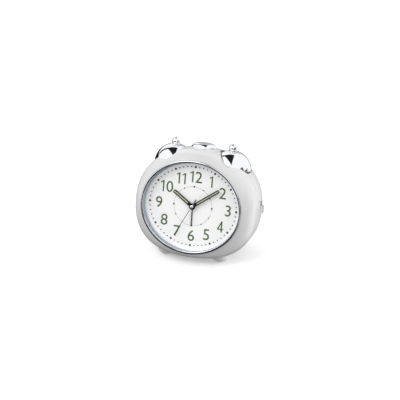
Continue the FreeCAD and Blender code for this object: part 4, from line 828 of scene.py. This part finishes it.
def add_key_light():
    """A broad lamp above the viewer's left shoulder."""
    data = bpy.data.lights.new("key", "AREA")
    data.shape = "SQUARE"
    data.size = KEY_SIZE
    data.energy = KEY_POWER
    lamp = bpy.data.objects.new("key", data)
    turn = (Vector(KEY_AIM) - Vector(KEY_PLACE)).to_track_quat("-Z", "Y")
    lamp.matrix_world = Matrix.Translation(KEY_PLACE) @ turn.to_matrix().to_4x4()
    bpy.context.scene.collection.objects.link(lamp)


class Sky(Finish):
    """The studio round the clock, with dark cards that only polished surfaces see."""

    def __init__(self, name):
        world = bpy.data.worlds.new(name)
        world.use_nodes = True
        bpy.context.scene.world = world
        self.tree = world.node_tree
        self.shader = self.tree.nodes["Background"]
        direction = self.node("ShaderNodeTexCoord")["Generated"]
        parts = self.node("ShaderNodeSeparateXYZ", {}, {0: direction})
        self.right, self.back, self.up = (parts[axis] for axis in "XYZ")
        self.front = self.back * -1.0
        self.bearing = self.right.angle_over(self.front)
        self.rise = self.up.angle_of_sine()

    def overhead_card(self):
        """A card on the ceiling with two slanted sides, which draws the bells' dark triangles."""
        height = self.up.at_least(0.05)
        across = self.right / height
        forward = self.front / height
        above = ((self.up - 0.25) * 10.0).clamped()
        return (self.inside(forward, -0.66, OPEN, 0.05)
                * self.inside(across - forward * 0.127, -OPEN, 0.165, 0.04)
                * self.inside(forward - across * 1.23, -OPEN, 0.50, 0.05) * above)

    def leaning_pole(self):
        """A dark pole at the left, leaning back."""
        return (self.inside(self.bearing + self.rise * 0.33, -118.0, -102.0, 3.0)
                * self.inside(self.rise, 8.0, 50.0, 4.0))

    def left_screen(self):
        """A screen behind the clock's left, with a falling top edge."""
        return (self.inside(self.bearing, -161.0, -101.0, 4.0)
                * self.inside(self.rise - self.bearing * 0.13, -90.0, 23.5, 3.0))

    def back_screen(self):
        """A grey screen behind the clock, with a slanted right edge."""
        right_part = self.inside(self.bearing - self.rise * 0.35, 165.0, OPEN, 4.0)
        left_part = self.inside(self.bearing, -OPEN, -156.0, 4.0)
        return (right_part + left_part).clamped() * self.inside(self.rise, -90.0, 48.0, 6.0) * 0.55

    def ground(self):
        """The dark ground, which the undersides see."""
        return self.inside(self.rise, -95.0, -40.0, 8.0) * 0.85

    def plain_cards(self):
        dark = 0.0
        for bearings, rises, soft, darkness in PLAIN_CARDS:
            card = self.inside(self.bearing, *bearings, soft) * self.inside(self.rise, *rises, soft)
            dark = card * darkness + dark
        return dark


def add_world():
    sky = Sky("studio")
    dark = (sky.overhead_card() + sky.leaning_pole() + sky.left_screen() + sky.back_screen()
            + sky.ground() + sky.plain_cards()).clamped()
    mirrored = (1.0 - dark * CARD_DARKNESS) * MIRRORED_LIGHT
    soft = (sky.right * SOFT_RIGHT + sky.back * SOFT_BACK + sky.up * SOFT_UP
            + sky.right * sky.right * SOFT_SIDES + SOFT_LEVEL).at_least(SOFT_LEAST)
    polished = sky.node("ShaderNodeLightPath")["Is Glossy Ray"]
    shade = mirrored * polished + soft * (1.0 - polished)
    grey = sky.node("ShaderNodeCombineColor", {}, {0: shade, 1: shade, 2: shade})[0]
    sky.plug(sky.shader.inputs["Color"], grey)


add_floor()
add_world()
add_key_light()
bpy.context.scene.view_settings.view_transform = "Standard"
